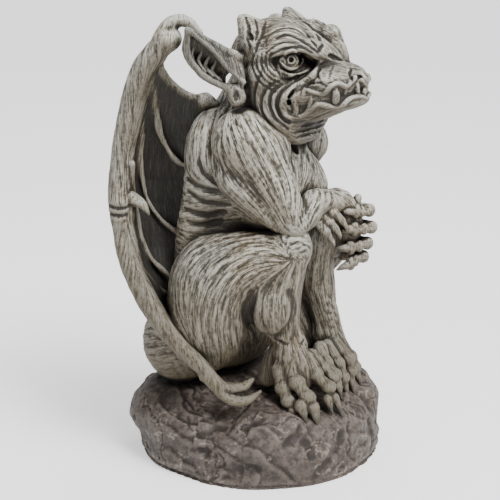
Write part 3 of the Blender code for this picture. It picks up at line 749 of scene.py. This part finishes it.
def face(clay):
    """Lids, nostrils and the folds of the scowl, on both cheeks."""
    lines(clay, (
        (crease, [(16.5, 318), (19.5, 323), (24.5, 326), (29.5, 324), (33.5, 319)], 1.5, 0.3, 0.8),
        (crease, [(16.5, 318), (20, 314.5), (24.5, 312.5), (29.5, 314), (33.5, 318)], 1.4, 0.3, 0.8),
        (groove, [(33.5, 321), (37, 319), (41, 316)], 2.6, 0.8, 2.0),
        (crease, [(15, 314.5), (20, 309.5), (27, 307.5), (33.5, 309), (38.5, 312.5)], 1.5, 0.0, 1.5),
        (groove, [(12.5, 314.5), (18.5, 306), (27, 304.5), (35, 306), (41, 311)], 1.1, 0.7),
        (groove, [(15, 316.5), (21, 311), (27, 310), (32.5, 311)], 0.9, 0.7),
        (crease, [(46.5, 318), (41.5, 309.5), (34, 303), (27, 299), (21, 293), (18, 286), (20, 278.5),
         (26, 274.5)], 2.0, 0.1, 1.6),
        (groove, [(42.5, 319), (39.5, 312), (32, 306), (23, 300.5), (16.5, 294.5), (14, 286), (16.5, 277.5),
         (24, 271.5)], 1.5, 0.7),
        (groove, [(46, 312), (41, 304.5), (34, 299.5), (27.5, 296.5), (23, 291.5)], 1.4, 0.7),
        (groove, [(32.5, 308), (22.5, 303.5), (13.5, 298), (9, 291.5), (9, 283), (13.5, 274.5),
         (22.5, 267.5)], 1.3, 0.7),
        (groove, [(27, 305), (16.5, 303), (7, 298), (2.5, 290.5), (3, 280.5), (8.5, 271.5), (17, 263)], 1.2,
         0.6),
        (groove, [(3, 312), (-0.5, 303), (-3, 293), (-2, 282), (3, 271.5)], 1.2, 0.6),
        (groove, [(9.5, 324), (9, 316.5), (14, 310.5), (22.5, 306.5)], 0.8, 0.6),
        (groove, [(6.5, 324), (5.5, 316), (11, 308), (20, 304)], 0.8, 0.6),
        (groove, [(3, 324), (2.5, 315), (8.5, 306), (18, 301)], 0.8, 0.6),
        (groove, [(0, 324), (-1, 314.5), (5.5, 303.5), (15.5, 298.5)], 0.8, 0.6),
        (groove, [(-3.5, 324), (-4.5, 313.5), (2.5, 301.5), (13.5, 295.5)], 0.8, 0.6),
        (groove, [(71, 315), (68, 309), (70.5, 303.5)], 1.3, 0.7),
        (groove, [(74, 307.5), (77, 306.5)], 1.9, 0.8, 0.6)))
    groove(clay, [(52.5, 322), (58, 320.5), (64, 318.5)], 1.9, 0.7, 1.0)
    lines(clay, (
        (groove, [(-5, 318), (-9, 301.5), (-6.5, 284.5)], 1.1, 0.6),
        (groove, [(-8.5, 316), (-11.5, 301.5), (-9, 284.5)], 1.1, 0.6),
        (groove, [(-11.5, 313.5), (-14.5, 301.5), (-11, 284.5)], 1.1, 0.6),
        (groove, [(24.5, 272), (33.5, 273), (44, 276), (53.5, 280)], 1.0, 0.6),
        (groove, [(26, 268.5), (35, 270), (45.5, 273), (55, 277.5)], 1.0, 0.6),
        (groove, [(27.5, 264.5), (36.5, 267), (46.5, 270), (56.5, 275)], 1.0, 0.6),
        (groove, [(29, 260.5), (38, 263.5), (48, 267), (58, 273)], 1.0, 0.6),
        (groove, [(-9, 350.5), (-6.5, 342.5), (-8, 335), (-6, 327.5)], 1.2, 0.6),
        (groove, [(-1.5, 348.5), (0, 341), (-1.5, 333.5)], 1.1, 0.6),
        (groove, [(-6.5, 338), (-6, 336.5), (-5, 335.5), (-4.5, 334)], 1.8, 0.7, 0.6),
        (groove, [(44.5, 327.5), (39.5, 333.5), (33.5, 340.5), (26, 345.5), (18.5, 348)], 1.2, 0.65),
        (groove, [(43, 325), (36.5, 330.5), (29, 335), (21, 337.5), (13.5, 335)], 1.2, 0.65),
        (groove, [(46.5, 331), (44, 337.5), (38, 344), (31, 348.5)], 1.1, 0.65),
        (groove, [(40, 324), (33.5, 327.5), (25.5, 328), (17, 326), (9, 322)], 1.0, 0.7),
        (groove, [(35.5, 335.5), (29.5, 340.5), (22.5, 342.5), (14, 341), (7.5, 336.5)], 0.9, 0.6),
        (groove, [(32.5, 329), (27, 331.5), (19.5, 332), (12, 329), (6, 324)], 0.8, 0.6),
        (groove, [(44.5, 324), (46.5, 328), (49.5, 332.5)], 1.4, 0.6),
        (groove, [(45.5, 313.5), (44.5, 307.5), (46.5, 301.5)], 0.8, 0.6),
        (groove, [(55.5, 314.5), (53.5, 309.5), (52.5, 304.5)], 0.7, 0.5),
        (groove, [(35.5, 298), (40, 301.5), (45.5, 302), (51, 299.5)], 0.9, 0.6),
        (groove, [(6, 347), (4, 339.5), (0, 330.5), (-3, 321)], 0.9, 0.6)))
    for s in (-1, 1):
        # The drilled pupil and the ring round it.
        gaze = np.array([s * 0.62, -0.77, 0.15])
        eye = np.array([s * 27, -40.5, 318.5])
        clay.limb([tuple(eye + gaze * r) + (2.0,) for r in (7.0, 12.0)], soft=0.3, cut=True)
        sideways = np.cross(gaze, (0.0, 0.0, 1.0))
        ring = [eye + 7.7 * gaze + 4.3 * (math.cos(t) * sideways + math.sin(t) * np.cross(gaze, sideways))
                for t in np.linspace(0, 2 * math.pi, 9)]
        clay.limb([tuple(p) + (0.8,) for p in ring], soft=0.3, cut=True, steps=3)


# How the fur is combed: lines across the three-quarter view, each point across,
# toward and up, from the root of the strokes to their tips.
COMBED = [
    [(23, 62, 188), (3, 50, 189), (-21, 48, 184), (-47, 52, 176), (-59, 58, 158), (-61, 63, 132)],
    [(21, 66, 176), (0, 63, 179), (-22, 66, 170), (-37, 72, 150), (-42, 73, 123), (-39, 70, 102)],
    [(11, 68, 163), (-7, 70, 161), (-21, 72, 142), (-24, 70, 118), (-21, 56, 91)],
    [(0, 66, 147), (-3, 66, 131), (3, 60, 113)],
    [(11, 68, 149), (11, 70, 132), (16, 62, 111)],
    [(30, 64, 170), (29, 63, 148), (25, 66, 128), (25, 60, 103)],
    [(-88, 23, 102), (-80, 35, 105), (-68, 68, 117)],
    [(-87, 29, 86), (-78, 38, 91), (-65, 72, 107)],
    [(-71, 62, 125), (-60, 74, 107), (-51, 44, 75)],
    [(-16, 52, 275), (-10, 62, 262), (0, 64, 239), (17, 63, 207)],
    [(-7, 52, 280), (3, 61, 262), (13, 62, 240), (18, 64, 225)],
    [(3, 52, 278), (14, 56, 261), (23, 49, 245), (29, 51, 226)],
    [(-27, 52, 267), (-24, 56, 246), (-9, 58, 228), (14, 62, 206)],
    [(-33, 47, 258), (-33, 43, 234), (-15, 54, 211), (14, 61, 197)],
    [(-52, 27, 211), (-40, 32, 210), (-27, 38, 215)],
    [(-52, 25, 196), (-38, 26, 195), (-23, 34, 201)],
    [(-39, 22, 275), (-45, 33, 257), (-45, 36, 236)],
    [(35, 26, 239), (32, 39, 224), (25, 64, 210), (26, 64, 198)],
    [(46, 10, 232), (46, 33, 220), (39, 52, 210), (30, 62, 200)],
    [(3, 46, 328), (13, 45, 336), (27, 50, 340), (41, 46, 332)],
    [(3, 22, 342), (20, 21, 344), (36, 16, 341), (48, 20, 334)],
    [(3, 46, 317), (4, 50, 306), (0, 46, 292)],
    [(-4, 46, 320), (-6, 43, 304), (2, 48, 286)],
    [(21, 55, 274), (35, 45, 271), (53, 55, 279), (69, 56, 285)],
    [(51, 12, 173), (50, 11, 158), (48, 8, 139)],
    [(47, 7, 122), (52, 8, 106), (59, 10, 85)],
    [(21, 64, 184), (26, 63, 190), (33, 62, 189)],
]


def combing():
    """Middles, directions and strengths of all the short spans of the combed lines,
    and of their weaker mirror images."""
    middles, ways, strengths = [], [], []
    for line in COMBED:
        path = smooth_path([q(*p)[:3] for p in line], 4)
        for side, strength in ((1.0, 1.0), (-1.0, 0.25)):
            shown = path * (side, 1.0, 1.0)
            middles.append((shown[1:] + shown[:-1]) / 2)
            step = np.diff(shown, axis=0)
            ways.append(step / np.linalg.norm(step, axis=1, keepdims=True))
            strengths.append(np.full(len(step), strength))
    return np.vstack(middles), np.vstack(ways), np.concatenate(strengths)


def combed_way(points, normals, spread=11.0):
    """Direction of the fur at each point: the combed spans' directions, each weighted
    by the bell curve of its distance, laid into the surface, and downhill elsewhere."""
    middles, ways, strengths = combing()
    total = np.zeros(points.shape)
    for start in range(0, len(points), 20000):
        p = points[start:start + 20000]
        square = ((p[:, None, :] - middles[None]) ** 2).sum(2)
        share = strengths * np.exp(-square / (2 * spread ** 2))
        total[start:start + 20000] = share @ ways
    total += 2e-3 * np.array([0.0, 0.15, -1.0])
    total -= (total * normals).sum(1, keepdims=True) * normals
    return total / np.maximum(np.linalg.norm(total, axis=1, keepdims=True), 1e-9)


def strokes(points, way, cell, length):
    """Chiselled hair: the grain averaged along the direction of the fur, stretched
    to about -1 to 1."""
    total = 0.0
    reach = np.linspace(-length, length, 13)
    for t in reach:
        total = total + grain(points + 500.0 + t * way, cell)
    total = total / len(reach) - 0.5
    return np.clip(total / (2.2 * total.std()), -1.0, 1.0)


def corner_normals(corners, quads):
    """Mean of the quads' normals round each corner, by their areas."""
    face = np.cross(corners[quads[:, 2]] - corners[quads[:, 0]],
            corners[quads[:, 3]] - corners[quads[:, 1]])
    total = np.stack([sum(np.bincount(quads[:, k], face[:, axis], len(corners)) for k in range(4))
                      for axis in range(3)], 1)
    return total / np.maximum(np.linalg.norm(total, axis=1, keepdims=True), 1e-9)


def neighbour_mean(values, quads):
    """Mean of a value over the corners that share a quad's edge."""
    total = np.zeros(len(values))
    count = np.zeros(len(values))
    for k in range(4):
        a, b = quads[:, k], quads[:, (k + 1) % 4]
        total += np.bincount(a, values[b], len(values)) + np.bincount(b, values[a], len(values))
        count += np.bincount(a, minlength=len(values)) + np.bincount(b, minlength=len(values))
    return total / np.maximum(count, 1)


def bulge(corners, normals, quads, passes):
    """How far each corner stands out of its neighbours' mean, eased over some passes."""
    near = np.stack([neighbour_mean(corners[:, k], quads) for k in range(3)], 1)
    out = ((corners - near) * normals).sum(1)
    for _ in range(passes):
        out = 0.5 * out + 0.5 * neighbour_mean(out, quads)
    return out


def openness(points, normals, whole):
    """Share of open space over each point: how far the whole figure's distance grows
    on the way out along the normal."""
    total = 0.0
    for reach in (4.0, 9.0, 16.0):
        out = np.clip(whole.depth(points + normals * reach) / reach, 0.0, 1.0)
        side = np.clip(whole.depth(points + normals * reach * 0.6 + np.array([0, 0, 0.8]) * reach) / reach,
                0.0, 1.0)
        total = total + (0.65 * out + 0.35 * side) / 3
    return total


def bell(points, centre, radii):
    """1 at the centre, falling off like a bell curve in stretched distance."""
    return np.exp(-(((points - np.asarray(centre, float)) / radii) ** 2).sum(1))


def soft_step(x, low, high):
    """Smooth rise from 0 at low to 1 at high."""
    t = np.clip((x - low) / (high - low), 0.0, 1.0)
    return t * t * (3 - 2 * t)


def make_piece(name, corners, quads, marks, material):
    """A mesh object in metres with smooth quads and one value per corner for each mark."""
    mesh = bpy.data.meshes.new(name)
    mesh.vertices.add(len(corners))
    mesh.vertices.foreach_set("co", (corners * MM).astype(np.float32).ravel())
    mesh.loops.add(quads.size)
    mesh.loops.foreach_set("vertex_index", quads.astype(np.int32).ravel())
    mesh.polygons.add(len(quads))
    mesh.polygons.foreach_set("loop_start", np.arange(0, quads.size, 4, dtype=np.int32))
    mesh.polygons.foreach_set("use_smooth", np.ones(len(quads), bool))
    mesh.update(calc_edges=True)
    mesh.validate()
    for mark, values in marks.items():
        flat = values.astype(np.float32).ravel()
        if values.ndim == 1:
            mesh.attributes.new(mark, "FLOAT", "POINT").data.foreach_set("value", flat)
        else:
            mesh.attributes.new(mark, "FLOAT_VECTOR", "POINT").data.foreach_set("vector", flat)
    mesh.materials.append(material)
    piece = bpy.data.objects.new(name, mesh)
    bpy.context.scene.collection.objects.link(piece)
    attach(piece, "root")
    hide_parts("gargoyle_statue")
    return piece


def fur_depth(points):
    """Depth of the hair strokes, in millimetres, by place."""
    depth = np.full(len(points), 0.55)
    head = soft_step(points[:, 2], 276, 292) * soft_step(-points[:, 1], -30, -20)
    depth -= 0.25 * head
    muzzle = bell(points, (0, -78, 298), (30, 26, 24))
    depth -= 0.25 * np.clip(muzzle * 1.6, 0, 1) * head
    feet = soft_step(-points[:, 2], -84, -74)
    depth -= 0.3 * feet
    hand = bell(points, q(72, 4, 182)[:3], (22, 22, 30))
    depth -= 0.4 * np.clip(hand * 1.5, 0, 1)
    return np.clip(depth, 0.05, 1.0)


def ears(clay):
    for side in BOTH:
        ear(clay, side)


# The rock's beds: the direction across them and the gap from one to the next.
BED_LEAN = np.array([0.55, -0.35, 0.76])
BED_GAP = 19.0
DOWN = np.array([0.0, 0.0, -1.0])


def rock_relief(corners, normals):
    """Heights of the rock's broken beds, lumps and cracks, its fine grain, the way of its
    hair, which it has none of, and its pale veins."""
    lean = corners @ BED_LEAN + 60.0 * rough(corners, 60.0, 3)
    beds = (lean / BED_GAP) % 1.0
    broken = soft_step(rough(corners + 40.0, 24.0, 2), -0.05, 0.2)
    lumps = 1 - 2.6 * np.abs(rough(corners + 10.0, 34.0, 3))
    fall = np.array(q(-0.6, 0.0, -0.8)[:3])
    drawn = corners - 0.8 * (corners @ fall)[:, None] * fall
    height = 2.2 * broken * (beds - soft_step(beds, 0.85, 1.0)) + 1.2 * lumps + 1.7 * rough(drawn, 14.0, 3)
    crack = np.abs(rough(corners + 70.0, 30.0, 3))
    height -= 1.2 * (1 - soft_step(crack, 0.0, 0.03))
    height = (height * soft_step(corners[:, 2], 0.5, 5.0) - 2.4) * (1 - soft_step(-normals[:, 2], 0.8,
            0.98))
    fine = np.clip(1.8 * rough(corners, 4.0, 3), -1, 1)
    vein = 1 - soft_step(np.abs(rough(corners * (1.0, 1.0, 1.6) + 120.0, 24.0, 4)), 0.0, 0.018)
    return height, fine, np.zeros(corners.shape), vein


def hair_relief(corners, normals, kind):
    """Heights of the chiselled hair, its strokes, the way they run, and an empty mark, later filled with
    the dark claws and with painted shade on the wing membranes and in the ear hollows. On the wings the
    strokes run nearly straight down."""
    way = combed_way(corners, normals)
    if kind == "wing":
        way = way * 0.2 + DOWN
        way -= (way * normals).sum(1, keepdims=True) * normals
        way /= np.maximum(np.linalg.norm(way, axis=1, keepdims=True), 1e-9)
    fine = 0.7 * strokes(corners, way, 1.6, 8.0) + 0.4 * strokes(corners + 91.0, way, 2.8, 13.0)
    depth = fur_depth(corners) if kind == "body" else np.full(len(corners), 0.4)
    return depth * (fine - 0.25) + 0.5 * rough(corners, 9.0, 2), fine, way, np.zeros(len(corners))


def browned(corners, kind):
    """Where the colour turns a darker brown: the jaw, the hands, the feet and low down, and lower on the
    wings.
    """
    if kind == "rock":
        return np.zeros(len(corners))
    up = -corners[:, 2]
    brown_tint = bell(corners, q(38, 44, 278)[:3], 24.0) + bell(corners, (38, -58, 278), 24.0)
    brown_tint += 0.6 * bell(corners, q(70, 4, 180)[:3], 30.0)
    brown_tint += soft_step(up, -110, -55) + 0.35 * soft_step(up, -210, -130)
    if kind == "wing":
        brown_tint += 0.7 * soft_step(up, -250, -170)
    return np.clip(brown_tint, 0, 1)


def finish_skin(name, clay, material, kind, bones=None, side=-1):
    """Surface of the clay, carved with strokes and grain along its normals, with the
    marks that the paint follows."""
    corners, quads = clay.skin()
    normals = corner_normals(corners, quads)
    for _ in range(2):
        normals = np.stack([0.5 * normals[:, k] + 0.5 * neighbour_mean(normals[:, k],
                quads) for k in range(3)], 1)
    normals /= np.maximum(np.linalg.norm(normals, axis=1, keepdims=True), 1e-6)
    if kind == "rock":
        height, fine, way, markings_and_painted_shade = rock_relief(corners, normals)
    else:
        height, fine, way, markings_and_painted_shade = hair_relief(corners, normals, kind)
    if bones is not None:
        # Painted shade: the wing membrane that faces in toward the figure, away from its bones, is painted
        # near black.
        inward = normals @ (np.array(q(0.45, 0.9, 0.0)[:3]) * (-side, 1.0, 1.0))
        markings_and_painted_shade = soft_step(bones.depth(corners), 0.3, 2.2) * soft_step(inward, -0.3, 0.25)
        height *= 1 - 0.6 * markings_and_painted_shade
    carved = corners + normals * height[:, None]
    low, high = np.array(cad_box) / MM
    carved = np.clip(carved, low + (INSET, INSET, 0.0), high - INSET)
    shown = corner_normals(carved, quads)
    out = bulge(carved, shown, quads, 1)
    wide = bulge(carved, shown, quads, 8)
    out = out / (2.5 * out.std()) + 0.8 * wide / (2.5 * wide.std())
    near = sum(np.clip(clay.depth(corners + normals * r) / r, 0.0, 1.0) for r in (1.4, 3.0)) / 2
    if name == "legs":
        markings_and_painted_shade = 0.75 * np.clip(sum(bell(corners, spot, 4.0) for spot in sorted(set(CLAWS))), 0, 1)
    if name == "head":
        # Painted shade in the hollows of the ears, on the faces that look forward and out.
        inward = normals @ np.array([0.0, -0.75, 0.1])
        inward = inward + 0.6 * np.abs(normals[:, 0]) * np.sign(normals[:, 0] * corners[:, 0])
        markings_and_painted_shade = 0.65 * soft_step(np.abs(corners[:, 0]), 46, 53) * soft_step(corners[:, 2], 294, 302)
        markings_and_painted_shade = markings_and_painted_shade * soft_step(inward, 0.1, 0.6)
    marks = {
        "ridge": np.clip(0.5 + 0.5 * out, 0, 1),
        # How open each place is; the paint uses it for near-black painted shade between parts and to keep
        # the dry brush off closed-in places.
        "open": openness(corners, normals, whole) * (0.45 + 0.55 * near),
        "markings_and_painted_shade": markings_and_painted_shade,
        # Painted top light: near 1 on high surfaces that face up, falling on low surfaces and those that
        # face down.
        "painted_top_light": soft_step(normals[:, 2], -0.6, 0.7) * (0.3 + 0.7 * soft_step(corners[:, 2], 60.0, 260.0)),
        "brown_tint": browned(corners, kind),
        "pit": 1 - soft_step(near, 0.5, 0.97),
        "stroke": 0.5 + 0.5 * np.clip(fine, -1, 1),
        "way": way}
    return make_piece(name, carved, quads, marks, material)


class Shade:
    """A shader socket that can be reckoned with: + - and * add Math nodes."""

    def __init__(self, tree, socket):
        self.tree = tree
        self.socket = socket

    def math(self, operation, other, swap=False):
        node = self.tree.nodes.new("ShaderNodeMath")
        node.operation = operation
        values = (other, self) if swap else (self, other)
        for place, value in zip(node.inputs, values):
            if isinstance(value, Shade):
                self.tree.links.new(value.socket, place)
            else:
                place.default_value = value
        return Shade(self.tree, node.outputs[0])

    def __add__(self, other):
        return self.math("ADD", other)

    def __sub__(self, other):
        return self.math("SUBTRACT", other)

    def __rsub__(self, other):
        return self.math("SUBTRACT", other, swap=True)

    def __mul__(self, other):
        return self.math("MULTIPLY", other)

    __radd__ = __add__
    __rmul__ = __mul__

    def between(self, low, high):
        """0 below low, 1 above high, eased between."""
        node = self.tree.nodes.new("ShaderNodeMapRange")
        node.interpolation_type = "SMOOTHSTEP"
        self.tree.links.new(self.socket, node.inputs["Value"])
        node.inputs["From Min"].default_value = low
        node.inputs["From Max"].default_value = high
        return Shade(self.tree, node.outputs["Result"])


class Paint:
    """One Principled material and the ways to add nodes to it."""

    def __init__(self, name):
        self.material = bpy.data.materials.new(name)
        self.material.use_nodes = True
        self.tree = self.material.node_tree
        self.shader = self.tree.nodes["Principled BSDF"]

    def node(self, kind, settings=None, values=None, output=0):
        node = self.tree.nodes.new(kind)
        for key, value in (settings or {}).items():
            setattr(node, key, value)
        for key, value in (values or {}).items():
            if isinstance(value, Shade):
                self.tree.links.new(value.socket, node.inputs[key])
            else:
                node.inputs[key].default_value = value
        return Shade(self.tree, node.outputs[output])

    def mark(self, name):
        return self.node("ShaderNodeAttribute", {"attribute_name": name}, output="Fac")

    def place(self):
        return self.node("ShaderNodeTexCoord", output="Object")

    def noise(self, scale, detail=4.0, roughness=0.6):
        return self.node("ShaderNodeTexNoise", {},
                         {"Vector": self.place(), "Scale": scale, "Detail": detail,
                                 "Roughness": roughness}, "Fac")

    def combed(self, width, samples=9):
        """Fine hair: the noise averaged over places along the piece's own combing
        direction, stretched to 0 to 1."""
        way = self.node("ShaderNodeAttribute", {"attribute_name": "way"}, output="Vector")
        scale = 1.0 / (width * MM)
        total = 0.0
        for k in range(samples):
            offset = self.vector("SCALE", way, (k - samples / 2) * 1.05 * width * MM)
            spot = self.vector("ADD", self.place(), offset)
            total = total + self.node("ShaderNodeTexNoise", {},
                    {"Vector": spot, "Scale": scale, "Detail": 1.0}, "Fac")
        return (total * (1.0 / samples)).between(0.39, 0.61)

    def vector(self, operation, first, second):
        """A Vector Math node: the second value is a vector, or a number to scale by."""
        node = self.tree.nodes.new("ShaderNodeVectorMath")
        node.operation = operation
        self.tree.links.new(first.socket, node.inputs[0])
        if isinstance(second, Shade):
            self.tree.links.new(second.socket, node.inputs[1])
        else:
            node.inputs["Scale"].default_value = second
        return Shade(self.tree, node.outputs[0])

    def blend(self, factor, first, second, kind="MIX"):
        node = self.tree.nodes.new("ShaderNodeMix")
        node.data_type = "RGBA"
        node.blend_type = kind
        for place, value in ((node.inputs[0], factor), (node.inputs[6], first), (node.inputs[7], second)):
            if isinstance(value, Shade):
                self.tree.links.new(value.socket, place)
            elif isinstance(value, tuple):
                place.default_value = value + (1.0,)
            else:
                place.default_value = value
        return Shade(self.tree, node.outputs[2])

    def feed(self, name, shade):
        self.tree.links.new(shade.socket, self.shader.inputs[name])


def deeper(tone, share):
    """A darker tone of the same hue."""
    return tuple(share * c for c in tone)


def antique_stone_and_painted_light(name, wash_and_shade, stone, pale, warm, warm_share, hair, skin, marking_and_shade_share):
    """Cast stone paint: a stone tone, warm patches, dark washes in the hollows and between the hairs, and a
    pale dry brush on the ridges. Painted light and shade go over these: a darker brown on surfaces that
    face down or sit low, the dry brush strongest as a painted highlight on open surfaces that face up, and
    near-black painted shade where other parts close in, on the inner faces of the wing membranes and in the
    ear hollows."""
    paint = Paint(name)
    ridge, opened, stroke = paint.mark("ridge"), paint.mark("open"), paint.mark("stroke")
    mottle = paint.noise(60.0, 5.0)
    patches = paint.noise(17.0, 3.0)
    speck = paint.noise(520.0, 2.0, 0.7)
    fine = paint.combed(hair) if hair else paint.noise(190.0, 6.0, 0.7).between(0.2, 0.8)
    colour = paint.blend(patches.between(0.42, 0.7) * warm_share, stone, warm)
    colour = paint.blend(mottle.between(0.4, 0.75) * 0.45, colour, wash_and_shade)
    painted_top_light = paint.mark("painted_top_light")
    brown_tint = paint.mark("brown_tint")
    height = ridge * 0.42 + stroke * 0.12 + fine * 0.46 + (speck - 0.5) * 0.25
    # Painted shade: a darker brown on surfaces that face down and on the lower parts.
    colour = paint.blend((1 - painted_top_light.between(0.1, 0.8)) * 0.7, colour, deeper(warm, 0.5))
    # A darker brown at the jaw and the hands, and toward the bottom of the figure.
    colour = paint.blend(brown_tint * 0.6, colour, deeper(warm, 0.55))
    # The pale dry brush on the ridges, weighted by the painted top light and by openness, so that it
    # becomes a painted highlight on open upward faces, and weaker where the colour is browned.
    light = height.between(0.38, 0.86) * opened.between(0.05, 0.5) * (painted_top_light * 0.8 + 0.2) * (1 - brown_tint * 0.55)
    colour = paint.blend(light * 0.95, colour, pale)
    colour = paint.blend((1 - height.between(0.2, 0.62)) * 0.92, colour, wash_and_shade)
    # Near black on the claws and pale on the rock's veins, their own colours; near-black painted shade on
    # the inner faces of the wing membranes and in the ear hollows.
    colour = paint.blend(paint.mark("markings_and_painted_shade") * marking_and_shade_share, colour, skin)
    hollow = paint.mark("pit") * (0.72 if hair else 0.3) * (1 - height.between(0.45, 0.85) * 0.5)
    colour = paint.blend(hollow, colour, deeper(wash_and_shade, 0.8))
    # Painted shade, near black, between parts and under overhangs where the figure closes in over a
    # surface; it also deepens the dark washes in deep hollows.
    colour = paint.blend((1 - opened.between(0.0, 0.3)) * 0.95, colour, deeper(wash_and_shade, 0.4))
    paint.feed("Base Color", colour)
    paint.feed("Roughness", height * -0.15 + 0.68)
    paint.shader.inputs["Specular IOR Level"].default_value = 0.35
    relief = fine * 0.7 + speck * 0.15 + paint.noise(170.0, 3.0) * 0.3
    bump = paint.node("ShaderNodeBump", {}, {"Height": relief, "Strength": 0.8, "Distance": 0.0006})
    paint.feed("Normal", bump)
    return paint.material


WASH_AND_SHADE = (0.014, 0.011, 0.008)
STONE = (0.092, 0.083, 0.065)
PALE = (0.570, 0.550, 0.480)
WARM = (0.115, 0.083, 0.038)
CLAW_AND_SHADE_DARK = (0.012, 0.0115, 0.010)
ROCK_WASH_AND_SHADE = (0.016, 0.012, 0.010)
ROCK_STONE = (0.068, 0.054, 0.049)
ROCK_PALE = (0.215, 0.185, 0.165)
ROCK_WARM = (0.085, 0.060, 0.042)
VEIN = (0.40, 0.34, 0.28)
HAIR_WIDTH = 0.85
body_paint = antique_stone_and_painted_light("antiqued_stone_and_painted_light", WASH_AND_SHADE, STONE, PALE, WARM, 0.9, HAIR_WIDTH, CLAW_AND_SHADE_DARK, 0.85)
rock_paint = antique_stone_and_painted_light("antiqued_rock_and_painted_light", ROCK_WASH_AND_SHADE, ROCK_STONE, ROCK_PALE, ROCK_WARM, 0.5, 0.0, VEIN,
        0.4)

# Each wing's side, how far its top lies further back and how far lower, in millimetres.
WINGS = {"wing_right": (-1, 0.0, 0.0), "wing_left": (1, 12.0, 8.0)}

# The whole figure, coarsely, for how open each place is.
whole = Clay((-114, -114, -4), (114, 114, 364), 2.6, reach=17.0)
for shape in (rock, torso, leg_right, foot_right, leg_left, foot_left, arm_right, arm_left, hands, head):
    shape(whole)
for place in WINGS.values():
    wing(whole, *place)
ears(whole)

# The visible skin keeps this far inside the solid's box, in millimetres.
INSET = 0.05

# Cell of each piece's clay in millimetres.
FINE = 1.0
ROCK_STEP = 1.35
WING_STEPS = {"wing_right": 1.15, "wing_left": 1.42}
BONE_STEP = 2.4

# The other pieces: name, cell, the corners of the block, and what is modelled in it.
PIECES = (
    ("trunk", 1.23, (-92, -96, 50), (92, 92, 304), (torso, throat)),
    ("arms", 1.07, (-92, -96, 110), (92, 60, 296), (arm_right, arm_left)),
    ("hands", 0.8, (-6, -96, 120), (76, -20, 226), (hands,)),
    ("legs", 1.15, (-100, -104, 24), (96, 64, 216), (leg_right, leg_left, leg_lines, foot_right,
     foot_left)),
    ("head", 0.92, (-84, -104, 236), (84, 36, 360), (head, mouth, face, ears)))


def block(low, high, step, shapes):
    clay = Clay(low, high, step)
    for shape in shapes:
        shape(clay)
    return clay


stone_base = block((-112, -112, -4), (112, 112, 84), FINE * ROCK_STEP, (rock, crags, ledges))
floor_line = stone_base.low[2] + stone_base.step * np.arange(stone_base.count[2])
stone_base.field = np.maximum(stone_base.field, -floor_line[None, None, :].astype(np.float32))
finish_skin("rock", stone_base, rock_paint, "rock")
for name, step, low, high, shapes in PIECES:
    finish_skin(name, block(low, high, FINE * step, shapes), body_paint, "body")
for name, place in WINGS.items():
    side = place[0]
    low, high = ((-106, -60, 56), (-10, 110, 360)) if side < 0 else ((10, -60, 56), (106, 110, 360))
    clay = Clay(low, high, FINE * WING_STEPS[name])
    wing(clay, *place)
    wing_lines(clay, *place)
    bones = Clay(low, high, BONE_STEP)
    wing_bones(bones, *place)
    finish_skin(name, clay, body_paint, "wing", bones, side)


def link(thing):
    bpy.context.scene.collection.objects.link(thing)


def turned(way):
    """Turn that points a lamp or camera along a direction."""
    return way.to_track_quat("-Z", "Y").to_euler()


def soft_light(name, spot, aim_at, size, power):
    """A square lamp, turned from its place to what it lights."""
    data = bpy.data.lights.new(name, "AREA")
    data.shape = "SQUARE"
    data.size = size
    data.energy = power
    lamp = bpy.data.objects.new(name, data)
    lamp.location = spot
    lamp.rotation_euler = turned(Vector(aim_at) - Vector(spot))
    link(lamp)


# The view: from the gargoyle's front right and a little above, by azimuth and rise.
AZIMUTH = math.radians(-60.0)
RISE = math.radians(15.0)
DISTANCE = 1.050
LENS = 94.5
SENSOR = 36.0
TARGET = Vector((-0.0029, 0.0050, 0.1620))
back = Vector((math.sin(AZIMUTH) * math.cos(RISE), -math.cos(AZIMUTH) * math.cos(RISE), math.sin(RISE)))
lens = bpy.data.cameras.new("view")
lens.lens = LENS
lens.sensor_width = SENSOR
camera = bpy.data.objects.new("view", lens)
camera.location = TARGET + back * DISTANCE
camera.rotation_euler = turned(-back)
link(camera)
bpy.context.scene.camera = camera

across = Vector((math.cos(AZIMUTH), math.sin(AZIMUTH), 0.0))
toward = Vector((math.sin(AZIMUTH), -math.cos(AZIMUTH), 0.0))


def view_spot(u, w, z):
    """A place in metres across the view, toward the viewer and up."""
    return tuple(across * u + toward * w + Vector((0.0, 0.0, z)))


soft_light("key", view_spot(0.75, 1.0, 1.4), (0, 0, 0.2), 0.5, 24.0)
soft_light("fill", view_spot(-1.1, 1.0, 0.8), (0, 0, 0.15), 0.9, 3.0)
soft_light("top", view_spot(0.1, -0.4, 1.6), (0, 0, 0.2), 0.7, 6.0)
day = bpy.data.lights.new("day", "SUN")
day.energy = 3.0
day.angle = 0.7
lamp = bpy.data.objects.new("day", day)
lamp.rotation_euler = turned(Vector((0, 0, 0)) - Vector(view_spot(0.8, 0.7, 1.3)))
link(lamp)

REACH = 6.0
FLOOR_TONE = (0.86, 0.86, 0.86, 1.0)
WHITE = (1.0, 1.0, 1.0, 1.0)
floor_mesh = bpy.data.meshes.new("floor")
square = [(-REACH, -REACH, 0), (REACH, -REACH, 0), (REACH, REACH, 0), (-REACH, REACH, 0)]
floor_mesh.from_pydata(square, [], [(0, 1, 2, 3)])
floor_paint = bpy.data.materials.new("studio_floor")
floor_paint.use_nodes = True
floor_look = floor_paint.node_tree.nodes["Principled BSDF"].inputs
floor_look["Base Color"].default_value = FLOOR_TONE
floor_look["Roughness"].default_value = 0.9
floor_look["Emission Color"].default_value = WHITE
floor_look["Emission Strength"].default_value = 0.7
floor_mesh.materials.append(floor_paint)
floor = bpy.data.objects.new("floor", floor_mesh)
link(floor)

world = bpy.data.worlds.new("studio")
world.use_nodes = True
sky_light = world.node_tree.nodes["Background"].inputs
sky_light["Color"].default_value = WHITE
sky_light["Strength"].default_value = 0.5
bpy.context.scene.world = world
